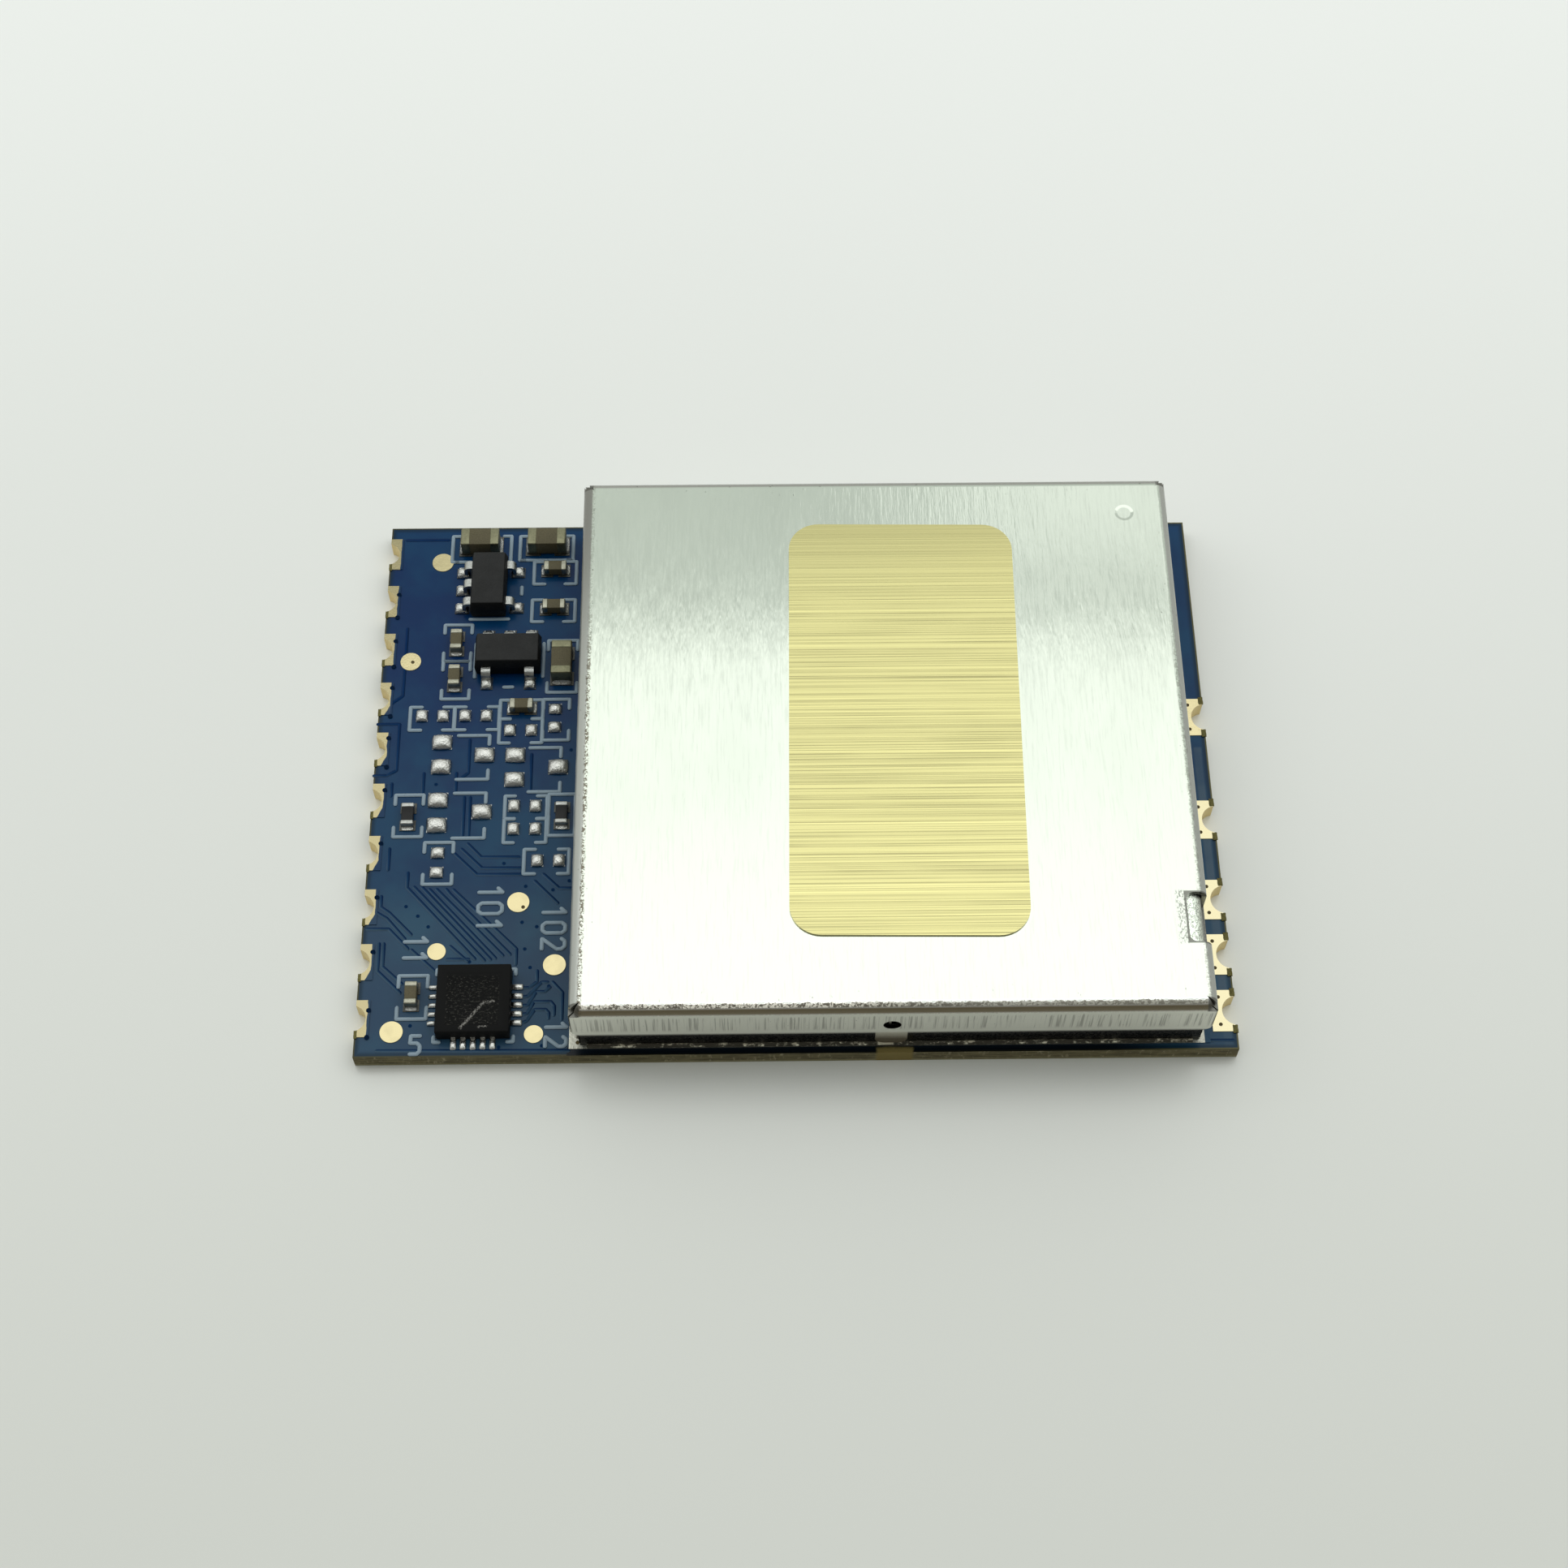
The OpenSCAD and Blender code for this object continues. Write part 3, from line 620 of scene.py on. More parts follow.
class Tree:
    """Short calls that build the nodes of a material or a node group."""

    def __init__(self, tree):
        self.tree = tree

    def node(self, kind, values=(), **settings):
        """A node with its settings made and its sockets filled."""
        made = self.tree.nodes.new(kind)
        for key, value in settings.items():
            setattr(made, key, value)
        for key, value in dict(values).items():
            self.put(value, made.inputs[key])
        return made

    def put(self, value, socket):
        """Links a socket, or sets a plain value."""
        if isinstance(value, bpy.types.NodeSocket):
            self.tree.links.new(value, socket)
        elif socket.type == "RGBA" and len(value) == 3:
            socket.default_value = (*value, 1)
        else:
            socket.default_value = value

    def math(self, operation, a, b=0.0, c=0.0, clamp=False):
        made = self.node("ShaderNodeMath", {0: a, 1: b, 2: c}, operation=operation, use_clamp=clamp)
        return made.outputs[0]

    def fold(self, operation, values):
        """One operation over several values, from the left."""
        return functools.reduce(lambda a, b: self.math(operation, a, b), values)

    def times(self, *values):
        return self.fold("MULTIPLY", values)

    def plus(self, *values):
        return self.fold("ADD", values)

    def most(self, *values):
        return self.fold("MAXIMUM", values)

    def least(self, *values):
        return self.fold("MINIMUM", values)

    def minus(self, a, b, clamp=False):
        return self.math("SUBTRACT", a, b, clamp=clamp)

    def rest(self, value, clamp=False):
        """What a value leaves of one."""
        return self.minus(1.0, value, clamp)

    def size(self, value):
        return self.math("ABSOLUTE", value)

    def apart(self, a, b):
        """How far two values are from each other."""
        return self.size(self.minus(a, b))

    def ramp(self, value, low, high, to_low=0.0, to_high=1.0):
        """A value smoothed from one range to another and held inside it."""
        ranges = {"From Min": low, "From Max": high, "To Min": to_low, "To Max": to_high}
        made = self.node("ShaderNodeMapRange", {"Value": value, **ranges}, interpolation_type="SMOOTHSTEP")
        return made.outputs["Result"]

    def span(self, value, low, high, to_low=0.0, to_high=1.0):
        """A ramp over a length whose range is in millimetres."""
        return self.ramp(value, low * MM, high * MM, to_low, to_high)

    def mix(self, share, a, b, blend="MIX"):
        made = self.node("ShaderNodeMix", data_type="RGBA", blend_type=blend, clamp_factor=True)
        sockets = [s for s in made.inputs if s.enabled]
        for socket, value in zip(sockets, (share, a, b)):
            self.put(value, socket)
        return next(s for s in made.outputs if s.enabled)

    def lift(self, colour, share, gain):
        """A colour with a share of a gain added to it."""
        return self.mix(1.0, colour, self.mix(share, (0, 0, 0), gain), "ADD")

    def axes(self, vector):
        return self.node("ShaderNodeSeparateXYZ", {0: vector}).outputs

    def vector(self, operation, a, b=(0, 0, 0)):
        """An operation on vectors that gives a vector."""
        return self.node("ShaderNodeVectorMath", {0: a, 1: b}, operation=operation).outputs["Vector"]

    def vector_value(self, operation, a, b):
        """An operation on two vectors that gives a number."""
        return self.node("ShaderNodeVectorMath", {0: a, 1: b}, operation=operation).outputs["Value"]

    def scaled(self, vector, share):
        values = {0: vector, "Scale": share}
        return self.node("ShaderNodeVectorMath", values, operation="SCALE").outputs["Vector"]

    def noise(self, vector, size, detail=2.0, roughness=0.5, stretch=(1, 1, 1)):
        """Soft noise with features about size across, in millimetres; stretch lengthens it along an axis."""
        scale = [1 / (size * MM * s) for s in stretch]
        moved = self.node("ShaderNodeMapping", {"Vector": vector, "Scale": scale}).outputs[0]
        values = {"Vector": moved, "Scale": 1.0, "Detail": detail, "Roughness": roughness}
        return self.node("ShaderNodeTexNoise", values).outputs["Fac"]

    def bump(self, height, distance, strength):
        """A surface roughened by a height of so many millimetres."""
        values = {"Height": height, "Distance": distance * MM, "Strength": strength}
        return self.node("ShaderNodeBump", values).outputs[0]

    def group(self, tree, **values):
        made = self.node("ShaderNodeGroup", node_tree=tree)
        for key, value in values.items():
            self.put(value, made.inputs[key.title()])
        return made.outputs


def new_group(name, inputs, outputs):
    """An empty shader node group with named sockets, and its group nodes."""
    tree = bpy.data.node_groups.new(name, "ShaderNodeTree")
    kinds = {"value": "NodeSocketFloat", "vector": "NodeSocketVector"}
    for way, sockets in (("INPUT", inputs), ("OUTPUT", outputs)):
        for label, kind in sockets.items():
            tree.interface.new_socket(name=label, in_out=way, socket_type=kinds[kind])
    build = Tree(tree)
    return build, build.node("NodeGroupInput").outputs, build.node("NodeGroupOutput").inputs


@functools.cache
def brushed_group():
    """Brush lines along one axis."""
    build, given, result = new_group(
        "Brushed Lines", {"Place": "vector", "Stretch": "vector"}, {"Lines": "value"})
    place = build.vector("MULTIPLY", given["Place"], given["Stretch"])
    build.put(build.noise(place, 0.10, 3.0, 0.65), result["Lines"])
    return build.tree


@functools.cache
def box_group():
    """A soft-edged mask of an upright box on the X and Y axes."""
    build, given, result = new_group(
        "Box Mask", {"Place": "vector", "Middle": "vector", "Half": "vector", "Soft": "value"},
        {"Mask": "value"})
    away = build.vector("SUBTRACT", given["Place"], given["Middle"])
    depths = build.axes(build.vector("SUBTRACT", given["Half"], build.vector("ABSOLUTE", away)))
    shares = [build.math("DIVIDE", depths[k], given["Soft"], clamp=True) for k in range(2)]
    build.put(build.times(*shares), result["Mask"])
    return build.tree


@functools.cache
def scratch_group():
    """A broken pale line between two points on the X and Y axes."""
    build, given, result = new_group(
        "Scratch", {"Place": "vector", "Start": "vector", "Run": "vector", "Width": "value"},
        {"Mask": "value"})
    run = given["Run"]
    flat = build.vector("MULTIPLY", build.vector("SUBTRACT", given["Place"], given["Start"]), (1, 1, 0))
    along = build.vector_value("DOT_PRODUCT", flat, run)
    share = build.math("DIVIDE", along, build.vector_value("DOT_PRODUCT", run, run), clamp=True)
    gap = build.vector_value("DISTANCE", flat, build.scaled(run, share))
    ragged = build.noise(given["Place"], 0.07)
    reach = build.times(given["Width"], build.times(ragged, 1.6))
    line = build.rest(build.math("DIVIDE", gap, reach), clamp=True)
    build.put(build.times(line, build.ramp(ragged, 0.38, 0.56)), result["Mask"])
    return build.tree


# Finishes


class Finish(Tree):
    """One material with its shader and the object coordinates."""

    def __init__(self, name):
        self.material = bpy.data.materials.new(name)
        self.material.use_nodes = True
        super().__init__(self.material.node_tree)
        self.shader = self.tree.nodes["Principled BSDF"]
        self.at = self.node("ShaderNodeTexCoord").outputs["Object"]
        self.x, self.y, self.z = self.axes(self.at)

    def set(self, **values):
        """Fills the shader's sockets, and gives the material."""
        for key, value in values.items():
            self.put(value, self.shader.inputs[key.replace("_", " ").title().replace("Ior", "IOR")])
        return self.material

    def grain(self, size, detail=2.0, roughness=0.5, stretch=(1, 1, 1)):
        """Noise at the object's own coordinates."""
        return self.noise(self.at, size, detail, roughness, stretch)

    def lines(self, stretch):
        """Brush lines at the object's own coordinates."""
        return self.group(brushed_group(), place=self.at, stretch=stretch)["Lines"]

    def box(self, middle, half, soft, place=None):
        """A soft-edged mask of an upright box, from its middle and half size on X and Y, in metres."""
        place = self.at if place is None else place
        return self.group(box_group(), place=place, middle=(*middle, 0), half=(*half, 1), soft=soft)["Mask"]

    def normal(self, kind):
        """The axes of the surface's own normal."""
        return self.axes(self.node("ShaderNodeNewGeometry").outputs[kind])

    def upright(self):
        """A mask of the faces that stand upright."""
        return self.ramp(self.size(self.normal("True Normal")[2]), 0.75, 0.45)


def colours():
    return bpy.context.scene.module_colours


def shade(tint, share):
    """A tint made darker or paler by a share."""
    return [min(1, c * share) for c in tint]


def near_mask(*gains):
    """The lacquer's colour towards the viewer, with its painted sheen, for margins that it covers."""
    return [sum(parts) for parts in zip(colours().mask, NEAR_TONE, *gains)]


def mask_finish():
    """Blue lacquer over copper, with laminate on the cut sides, along the rim and in one bare patch."""
    f = Finish("solder_mask")
    tints = colours()
    cloud = f.grain(2.6, 3.0, 0.55)
    fibre = f.grain(0.16, 4.0, 0.7, (1, 1, 3))
    side = f.upright()
    gap = f.least(f.minus(BOARD_HI.x, f.size(f.x)), f.minus(BOARD_HI.y, f.size(f.y)))

    lacquer = f.mix(f.ramp(cloud, 0.35, 0.68), tints.mask, tints.mask_pale)
    # Painted sheen: the lacquer lightens at the far end, towards the viewer, along the front and beside the
    # right contacts
    lacquer = f.mix(1.0, lacquer, f.mix(f.span(f.y, *NEAR_RANGE), FAR_TONE, NEAR_TONE), "ADD")
    lacquer = f.lift(lacquer, f.span(f.y, *FRONT_RANGE), FRONT_TONE)
    lacquer = f.lift(lacquer, f.span(f.x, *RIGHT_RANGE), RIGHT_TONE)
    strip = f.box((17.58 * MM, -6.0 * MM), (0.22 * MM, 7.2 * MM), 0.10 * MM)
    lacquer = f.mix(f.times(strip, f.ramp(cloud, 0.30, 0.60, 0.45, 1.0)), lacquer, STRIP_TINT)
    lacquer = f.mix(f.times(f.span(gap, 0.30, 0.10), 0.75), lacquer, BORDER_TINT)

    layers = f.grain(0.11, 3.0, 0.6, (9, 9, 1))
    cut = f.mix(f.ramp(layers, 0.35, 0.66), shade(tints.laminate, 0.5), tints.laminate)
    cut = f.mix(f.ramp(fibre, 0.55, 0.72), cut, FIBRE_TINT)
    foot = f.ramp(f.z, BOARD_LO.z + 0.20 * MM, BOARD_LO.z + 0.10 * MM)
    cut = f.mix(f.times(foot, 0.6), cut, FOOT_TINT)

    rim_tint = f.mix(f.span(f.x, 0, 10), shade(tints.burr, 0.4), shade(tints.burr, 0.8))
    colour = f.mix(f.times(f.span(gap, 0.09, 0.03), 0.85), lacquer, rim_tint)
    ragged = f.vector("ADD", f.at, f.scaled((0.12 * MM, 0.12 * MM, 0), fibre))
    # Painted shadow of the lid on the strip in front of the shield
    front_shadow = f.box((3.8 * MM, -12.80 * MM), (13.1 * MM, 0.27 * MM), 0.05 * MM, ragged)
    colour = f.mix(f.times(front_shadow, f.span(f.x, 16.0, 12.5), 0.9), colour, FRONT_SHADOW_TINT)
    colour = f.mix(side, colour, cut)
    patch = f.box((4.05 * MM, -12.9 * MM), (0.80 * MM, 0.24 * MM), 0.12 * MM, ragged)
    colour = f.mix(patch, colour, tints.bare_laminate)

    bare = f.most(side, patch)
    height = f.plus(f.times(f.grain(0.35), 0.25), f.times(fibre, bare, 0.8))
    f.set(base_color=colour, roughness=f.ramp(bare, 0, 1, 0.22, 0.72), normal=f.bump(height, 0.02, 0.5))
    return f.set(specular_ior_level=0.15)


def gold_finish():
    """Gold over nickel, dull and milled in the half holes, with lacquer over the left lands' margin."""
    f = Finish("gold_plating")
    gold = colours().gold
    stain = f.grain(0.6)
    side = f.upright()

    # The lacquer's edge, and the near ends of most near lands that it narrows
    inner = LEFT_HI.x
    margin = (inner - 0.11 * MM, inner - 0.08 * MM)
    ragged = f.plus(f.x, f.times(f.minus(stain, 0.5), 0.12 * MM))
    along = f.minus(f.y, LEFT_LO.y + LEFT_LAND / 2)
    along = f.math("WRAP", along, LEFT_PITCH / 2, -LEFT_PITCH / 2)
    taper = f.plus(ragged, f.times(f.minus(-0.35 * MM, along), 0.5))
    taper = f.times(f.ramp(taper, *margin), f.span(f.y, 5.0, 3.0), f.span(f.y, -10.3, -10.0))
    covered = f.most(f.ramp(ragged, *margin), taper)
    covered = f.times(covered, f.ramp(f.x, inner + 0.02 * MM, inner + 0.01 * MM))

    top = f.mix(f.ramp(stain, 0.45, 0.75), gold, shade(gold, 0.9))
    # Painted shade: the left lands are darker than the right ones
    top = f.mix(f.ramp(f.x, inner + 0.12 * MM, inner + 0.05 * MM), top, shade(gold, 0.67))
    # Painted highlight on the near right lands
    near_right = f.times(f.span(f.x, 0, 1), f.span(f.y, 4, -4))
    top = f.mix(near_right, top, [c * gain for c, gain in zip(gold, RIGHT_GOLD)])
    # The lacquer over the margin carries the same painted sheen
    lacquer = f.mix(f.span(f.y, *FRONT_RANGE), near_mask(), near_mask(FRONT_TONE))
    colour = f.mix(covered, f.mix(side, top, colours().hole), lacquer)
    metal = f.times(f.ramp(side, 0, 1, 1.0, 0.3), f.rest(covered))
    f.set(base_color=colour, metallic=metal, roughness=f.ramp(side, 0, 1, 0.15, 0.42))
    return f.set(normal=f.bump(f.grain(0.09, 3.0, 0.6), 0.006, 0.4), specular_ior_level=0.15)


def burr_finish():
    """Ragged olive laminate."""
    f = Finish("milled_laminate")
    fibre = f.grain(0.07, 3.0, 0.7)
    colour = f.mix(f.ramp(fibre, 0.35, 0.65), shade(colours().burr, 0.6), colours().burr)
    return f.set(base_color=colour, normal=f.bump(fibre, 0.03, 0.7), roughness=0.7, specular_ior_level=0.2)


def solder_finish(name="solder", tint=None, low=0.20, high=0.36, foot=1.0, rise=0.03):
    """Solder with a grainy skin of some rise, and a painted shade that darkens its slopes to a share of its
    tint.
    """
    f = Finish(name)
    skin = f.grain(0.10, 3.0, 0.6)
    tint = tint or colours().solder
    colour = f.mix(f.ramp(skin, 0.3, 0.55), shade(tint, 0.82), tint)
    if foot < 1:
        # Painted shade on the slopes
        ragged = f.plus(f.normal("Normal")[2], f.times(f.minus(skin, 0.5), 0.3))
        colour = f.mix(f.ramp(ragged, 0.97, 0.72), colour, shade(tint, foot))
    rough = f.ramp(f.grain(0.35), 0.3, 0.7, low, high)
    return f.set(base_color=colour, roughness=rough, normal=f.bump(skin, rise, 0.6), metallic=1.0)


def ring_finish():
    """The shield's tinned land, with lacquer over its right margin."""
    f = Finish("ring_tin")
    skin = f.grain(0.10, 3.0, 0.6)
    covered = f.ramp(f.x, RING_RIGHT - 0.24 * MM, RING_RIGHT - 0.21 * MM)
    tin = f.mix(f.ramp(skin, 0.3, 0.55), *RING_TINTS)
    # The lacquer over the margin carries the painted sheen of the front and the right
    colour = f.mix(covered, tin, near_mask(FRONT_TONE, RIGHT_TONE))
    f.set(base_color=colour, metallic=f.ramp(covered, 0, 1, 1.0, 0.0), normal=f.bump(skin, 0.03, 0.6))
    return f.set(roughness=0.36, specular_ior_level=0.15)


class LidFinish(Finish):
    """The lid's material, with the masks of its folds, skirts and pry notch."""

    def __init__(self):
        super().__init__("tinned_sheet")
        self.depth = self.minus(LID_HI.z, self.z)
        self.side_gap = self.minus(LID_HALF.x, self.apart(self.x, LID_MIDDLE.x))
        self.near_gap = self.minus(self.y, LID_LO.y)
        self.far_gap = self.minus(LID_HI.y, self.y)
        self.on_top = self.span(self.depth, 0.5, 0.3)
        self.skirt = self.rest(self.on_top)
        self.crumb_grain = self.grain(0.085, 3.0, 0.7)
        self.wander = self.times(self.minus(self.grain(0.22, 3.0, 0.65), 0.5), 0.3 * MM)
        self.streaks = self.grain(0.10, 3.0, 0.6, (1, 1, 45))
        # How far a place is in from the line where the left or right fold starts
        start = self.ramp(self.x, LID_LO.x + 5 * MM, LID_HI.x - 5 * MM, 0.45 * MM, 0.33 * MM)
        self.fold_gap = self.minus(self.side_gap, start)

    def shoulder(self):
        """The painted highlight on the shoulder where the near fold starts."""
        return self.times(self.on_top, self.span(self.near_gap, 0.43, 0.36))

    def crumbs(self):
        """Pale crumbs along the near fold, short of the lid's corners: grainy tin under a painted highlight.
        """
        ragged = self.plus(self.near_gap, self.wander)
        band = self.times(self.span(ragged, 0.36, 0.29), self.span(self.near_gap, 0.14, 0.19))
        return self.times(band, self.span(self.side_gap, 0.3, 0.5))

    def olive(self):
        """The thin olive band below the crumbs, a painted shade."""
        return self.times(self.on_top, self.span(self.near_gap, 0.20, 0.11))

    def side_fold(self):
        """The left and right folds, which take a painted grey shade."""
        return self.times(self.on_top, self.span(self.fold_gap, 0, -0.09))

    def far_fold(self):
        """The far fold, which takes a painted grey shade."""
        return self.times(self.on_top, self.span(self.far_gap, 0.42, 0.30))

    def corners(self):
        """The notched corners, where two folds end, which take a painted shadow."""
        ends = self.span(self.least(self.near_gap, self.far_gap), 0.46, 0.40)
        return self.times(self.span(self.side_gap, 0.46, 0.40), ends, self.span(self.depth, 0.5, 0.46))

    def pits(self, crumbs):
        """Dark pits in the crumbs, and along the lines where the side folds start."""
        line = self.plus(self.fold_gap, self.times(self.wander, 0.6))
        line = self.times(self.span(line, 0.12, 0.04), self.span(line, -0.12, -0.05))
        line = self.times(line, self.span(self.y, 7, 2, 0.25, 1.0))
        line = self.times(line, self.ramp(self.x, LID_MIDDLE.x, LID_MIDDLE.x + 5 * MM, 1.0, 0.6))
        worn = self.most(crumbs, self.times(line, self.on_top))
        blots = self.grain(0.15, 3.0, 0.65, (1.6, 1.6, 1))
        holes = self.most(self.ramp(self.crumb_grain, 0.50, 0.55), self.ramp(blots, 0.53, 0.58))
        return self.times(worn, holes, self.span(self.x, 2, 9, 0.9, 0.62))

    def specks(self):
        """Dark specks strewn near the lid's edges."""
        specks = self.ramp(self.grain(0.11, 2.0, 0.6, (1, 2.2, 1)), 0.70, 0.76)
        edge = self.least(self.side_gap, self.near_gap, self.far_gap)
        return self.times(specks, self.span(edge, 1.3, 0.5), 0.7)

    def scuffs(self):
        """Upright streaks in the middle of the skirts, strongest on the near one."""
        ends = self.plus(self.depth, self.times(self.minus(self.streaks, 0.5), 0.9 * MM))
        band = self.times(self.span(ends, 0.66, 0.84), self.span(ends, 2.1, 1.8))
        clusters = self.ramp(self.grain(0.9, 2.0, 0.5, (1, 1, 5)), 0.20, 0.45)
        scuffs = self.times(band, clusters, self.ramp(self.streaks, 0.48, 0.62))
        return self.times(scuffs, self.span(self.near_gap, 0.3, 0.6, 1.0, 0.35))

    def lip_tint(self):
        """The painted shade of the skirts' lower lip and of the lock tabs, which darken towards their lower
        edge.
        """
        tab = self.box(LID_MIDDLE.xy, (0.67 * MM, 1), 0.05 * MM)
        return self.mix(tab, LIP_TINT, self.mix(self.span(self.depth, 2.2, 2.95), *TAB_TINTS))

    def bore(self):
        """The lock hole's cut wall, which faces neither front nor back and takes a painted shade."""
        hole = self.box(LID_MIDDLE.xy, (0.42 * MM, 1), 0.02 * MM)
        facing = self.ramp(self.size(self.normal("True Normal")[1]), 0.6, 0.4)
        return self.times(hole, facing, self.span(self.apart(self.depth, 1.5 * MM), 0.5, 0.4))

    def notch_rim(self):
        """The sheared rim round the pry notch, darkened with a painted shade."""
        half = (NOTCH_IN + 0.09 * MM, NOTCH_HALF + 0.08 * MM)
        return self.box((LID_HI.x, NOTCH_Y), half, 0.03 * MM)

    def scribble(self):
        """Scribbled scuffs beside the pry notch."""
        beside = self.box((LID_HI.x - 1.12 * MM, NOTCH_Y), (0.27 * MM, 1.25 * MM), 0.12 * MM)
        scribble = self.ramp(self.grain(0.06, 3.0, 0.7, (1, 2.0, 1)), 0.50, 0.60)
        return self.times(beside, self.on_top, scribble)

    def fold_tint(self):
        """The painted grey shade of the left and right folds."""
        left = self.mix(self.span(self.y, 11, 1), *LEFT_FOLD_TINTS)
        across = self.ramp(self.x, LID_MIDDLE.x - 5 * MM, LID_MIDDLE.x + 5 * MM)
        return self.mix(across, left, RIGHT_FOLD_TINT)

    def sheet_with_painted_light(self, lines):
        """The sheet's colour on the top and the skirts, with its stains and brush lines, a painted highlight
        towards the near end and painted light on the skirts.
        """
        sheet = colours().sheet
        stain = self.grain(3.0, 3.0, 0.55, (1, 2.5, 1))
        colour = self.mix(self.ramp(stain, 0.35, 0.72), sheet, shade(sheet, 0.95))
        # Painted highlight towards the near end
        colour = self.mix(self.span(self.y, -1, -11), colour, LID_NEAR_TINT)
        colour = self.mix(self.times(self.ramp(lines, 0.52, 0.68), 0.22), colour, shade(sheet, 0.78))
        # Painted light on the skirts
        return self.mix(self.skirt, colour, SKIRT_TINT)


def sheet_finish():
    """Tinned steel brushed along Y, with a crumbled near rim under a painted highlight, matt folds in
    painted shade and scuffed skirts.
    """
    f = LidFinish()
    lines = f.lines((1, 0.07, 0.2))
    crumbs = f.crumbs()
    olive = f.olive()
    side = f.side_fold()
    far = f.far_fold()
    corners = f.corners()
    scuffs = f.scuffs()
    scribble = f.scribble()
    rim = f.notch_rim()
    # Layers of marks: the far and side folds, olive band, corners, notch rim, sill, lip and bore are painted
    # shade, the shoulder and crumbs a painted highlight
    layers = (
        (far, FAR_FOLD_TINT),
        (f.shoulder(), SHOULDER_TINT),
        (side, f.fold_tint()),
        (olive, OLIVE_TINT),
        (crumbs, f.mix(f.span(f.x, 1, 6), *CRUMB_HIGHLIGHT_TINTS)),
        (f.pits(crumbs), PIT_TINT),
        (f.times(corners, 0.85), CORNER_TINT),
        (f.specks(), SPECK_TINT),
        (f.times(scribble, 0.6), SCRIBBLE_TINT),
        (f.times(rim, f.on_top, 0.9), NOTCH_RIM_TINT),
        (f.times(rim, f.rest(f.upright()), f.skirt), SILL_TINT),
        (f.times(scuffs, 0.68), SCUFF_TINT),
        (f.span(f.depth, 2.1, 2.32), f.lip_tint()),
        (f.bore(), BORE_TINT),
    )
    colour = f.sheet_with_painted_light(lines)
    for share, tint in layers:
        colour = f.mix(share, colour, tint)

    rough = f.plus(
        f.ramp(lines, 0.35, 0.68, 0.075, 0.135), f.times(f.most(crumbs, scribble), 0.35),
        f.times(f.most(side, far, olive), 0.09), f.times(f.skirt, 0.22))
    ripples = f.grain(0.30, 3.0, 0.6, (1, 7, 1))
    height = f.plus(
        f.times(lines, 0.24), f.times(ripples, 0.95), f.times(crumbs, f.crumb_grain, 1.4),
        f.times(scuffs, f.streaks, 0.5))
    matt = f.most(f.times(f.most(side, corners), 0.8), crumbs, olive)
    f.set(base_color=colour, roughness=rough, normal=f.bump(height, 0.02, 0.5))
    return f.set(metallic=f.ramp(matt, 0, 1, 1.0, 0.3))


def fence_finish():
    """The fence's plainer tinned steel: crumpled on its flange under a painted highlight, and a painted
    shade that turns it near black towards its near foot.
    """
    f = Finish("tinned_fence")
    depth = f.minus(FENCE_TOP, f.z)
    grain = f.grain(0.12, 3.0, 0.65)
    creases = f.grain(0.15, 3.0, 0.7, (1, 1.5, 1))
    crease = f.rest(f.times(f.apart(creases, 0.5), 16.0), clamp=True)
    # The flange is painted brighter than the lid's sheet as a painted highlight, with painted shade in its
    # creases
    colour = f.mix(f.times(crease, 0.85), shade(colours().sheet, 1.45), CREASE_TINT)
    # Painted shade where the flange turns down
    colour = f.mix(f.span(depth, 0.03, 0.30), colour, FLANGE_TURN_TINT)
    # Painted shadow: the gap under the lid's edge shows as a dark line along the notch
    gap = f.span(f.apart(f.x, LID_HI.x - NOTCH_IN), 0.075, 0.03)
    colour = f.mix(f.times(gap, 0.9), colour, GAP_TINT)
    # Painted shade turns the near wall near black towards its foot
    in_front = f.span(f.minus(f.y, LID_LO.y), 0.8, 0.5)
    front_wall = f.mix(f.ramp(grain, 0.45, 0.7), *FRONT_WALL_TINTS)
    wall = f.mix(in_front, f.mix(f.ramp(grain, 0.35, 0.7), *WALL_TINTS), front_wall)
    colour = f.mix(f.span(depth, 0.5, 1.2), colour, wall)
    # A painted highlight on the tongue in the near lock hole
    tongue = f.box((LOCK_X, LID_LO.y), (0.10 * MM, 0.6 * MM), 0.02 * MM)
    tongue = f.times(tongue, f.span(f.apart(depth, 1.3 * MM), 0.42, 0.36))
    colour = f.mix(tongue, colour, TONGUE_TINT)
    rough = f.ramp(grain, 0.3, 0.7, 0.20, 0.40)
    return f.set(base_color=colour, roughness=rough, normal=f.bump(creases, 0.02, 0.5), metallic=1.0)


def seam_finish():
    """The solder along the fence's foot: bright flecks in dark olive flux, brightest under the lock tab."""
    f = Finish("flecked_solder")
    fleck = f.grain(0.14, 3.0, 0.65, (2.4, 2.4, 1))
    bead = f.box((TAB_BEAD_X, LID_LO.y), (0.36 * MM, 1 * MM), 0.08 * MM)
    shine = f.most(f.ramp(fleck, 0.50, 0.66), f.times(bead, f.ramp(fleck, 0.3, 0.42)))
    f.set(base_color=f.mix(shine, FLUX_TINT, FLECK_TINT), metallic=f.ramp(shine, 0, 1, 0.3, 1.0))
    return f.set(roughness=f.ramp(shine, 0, 1, 0.6, 0.32), normal=f.bump(fleck, 0.05, 0.7))


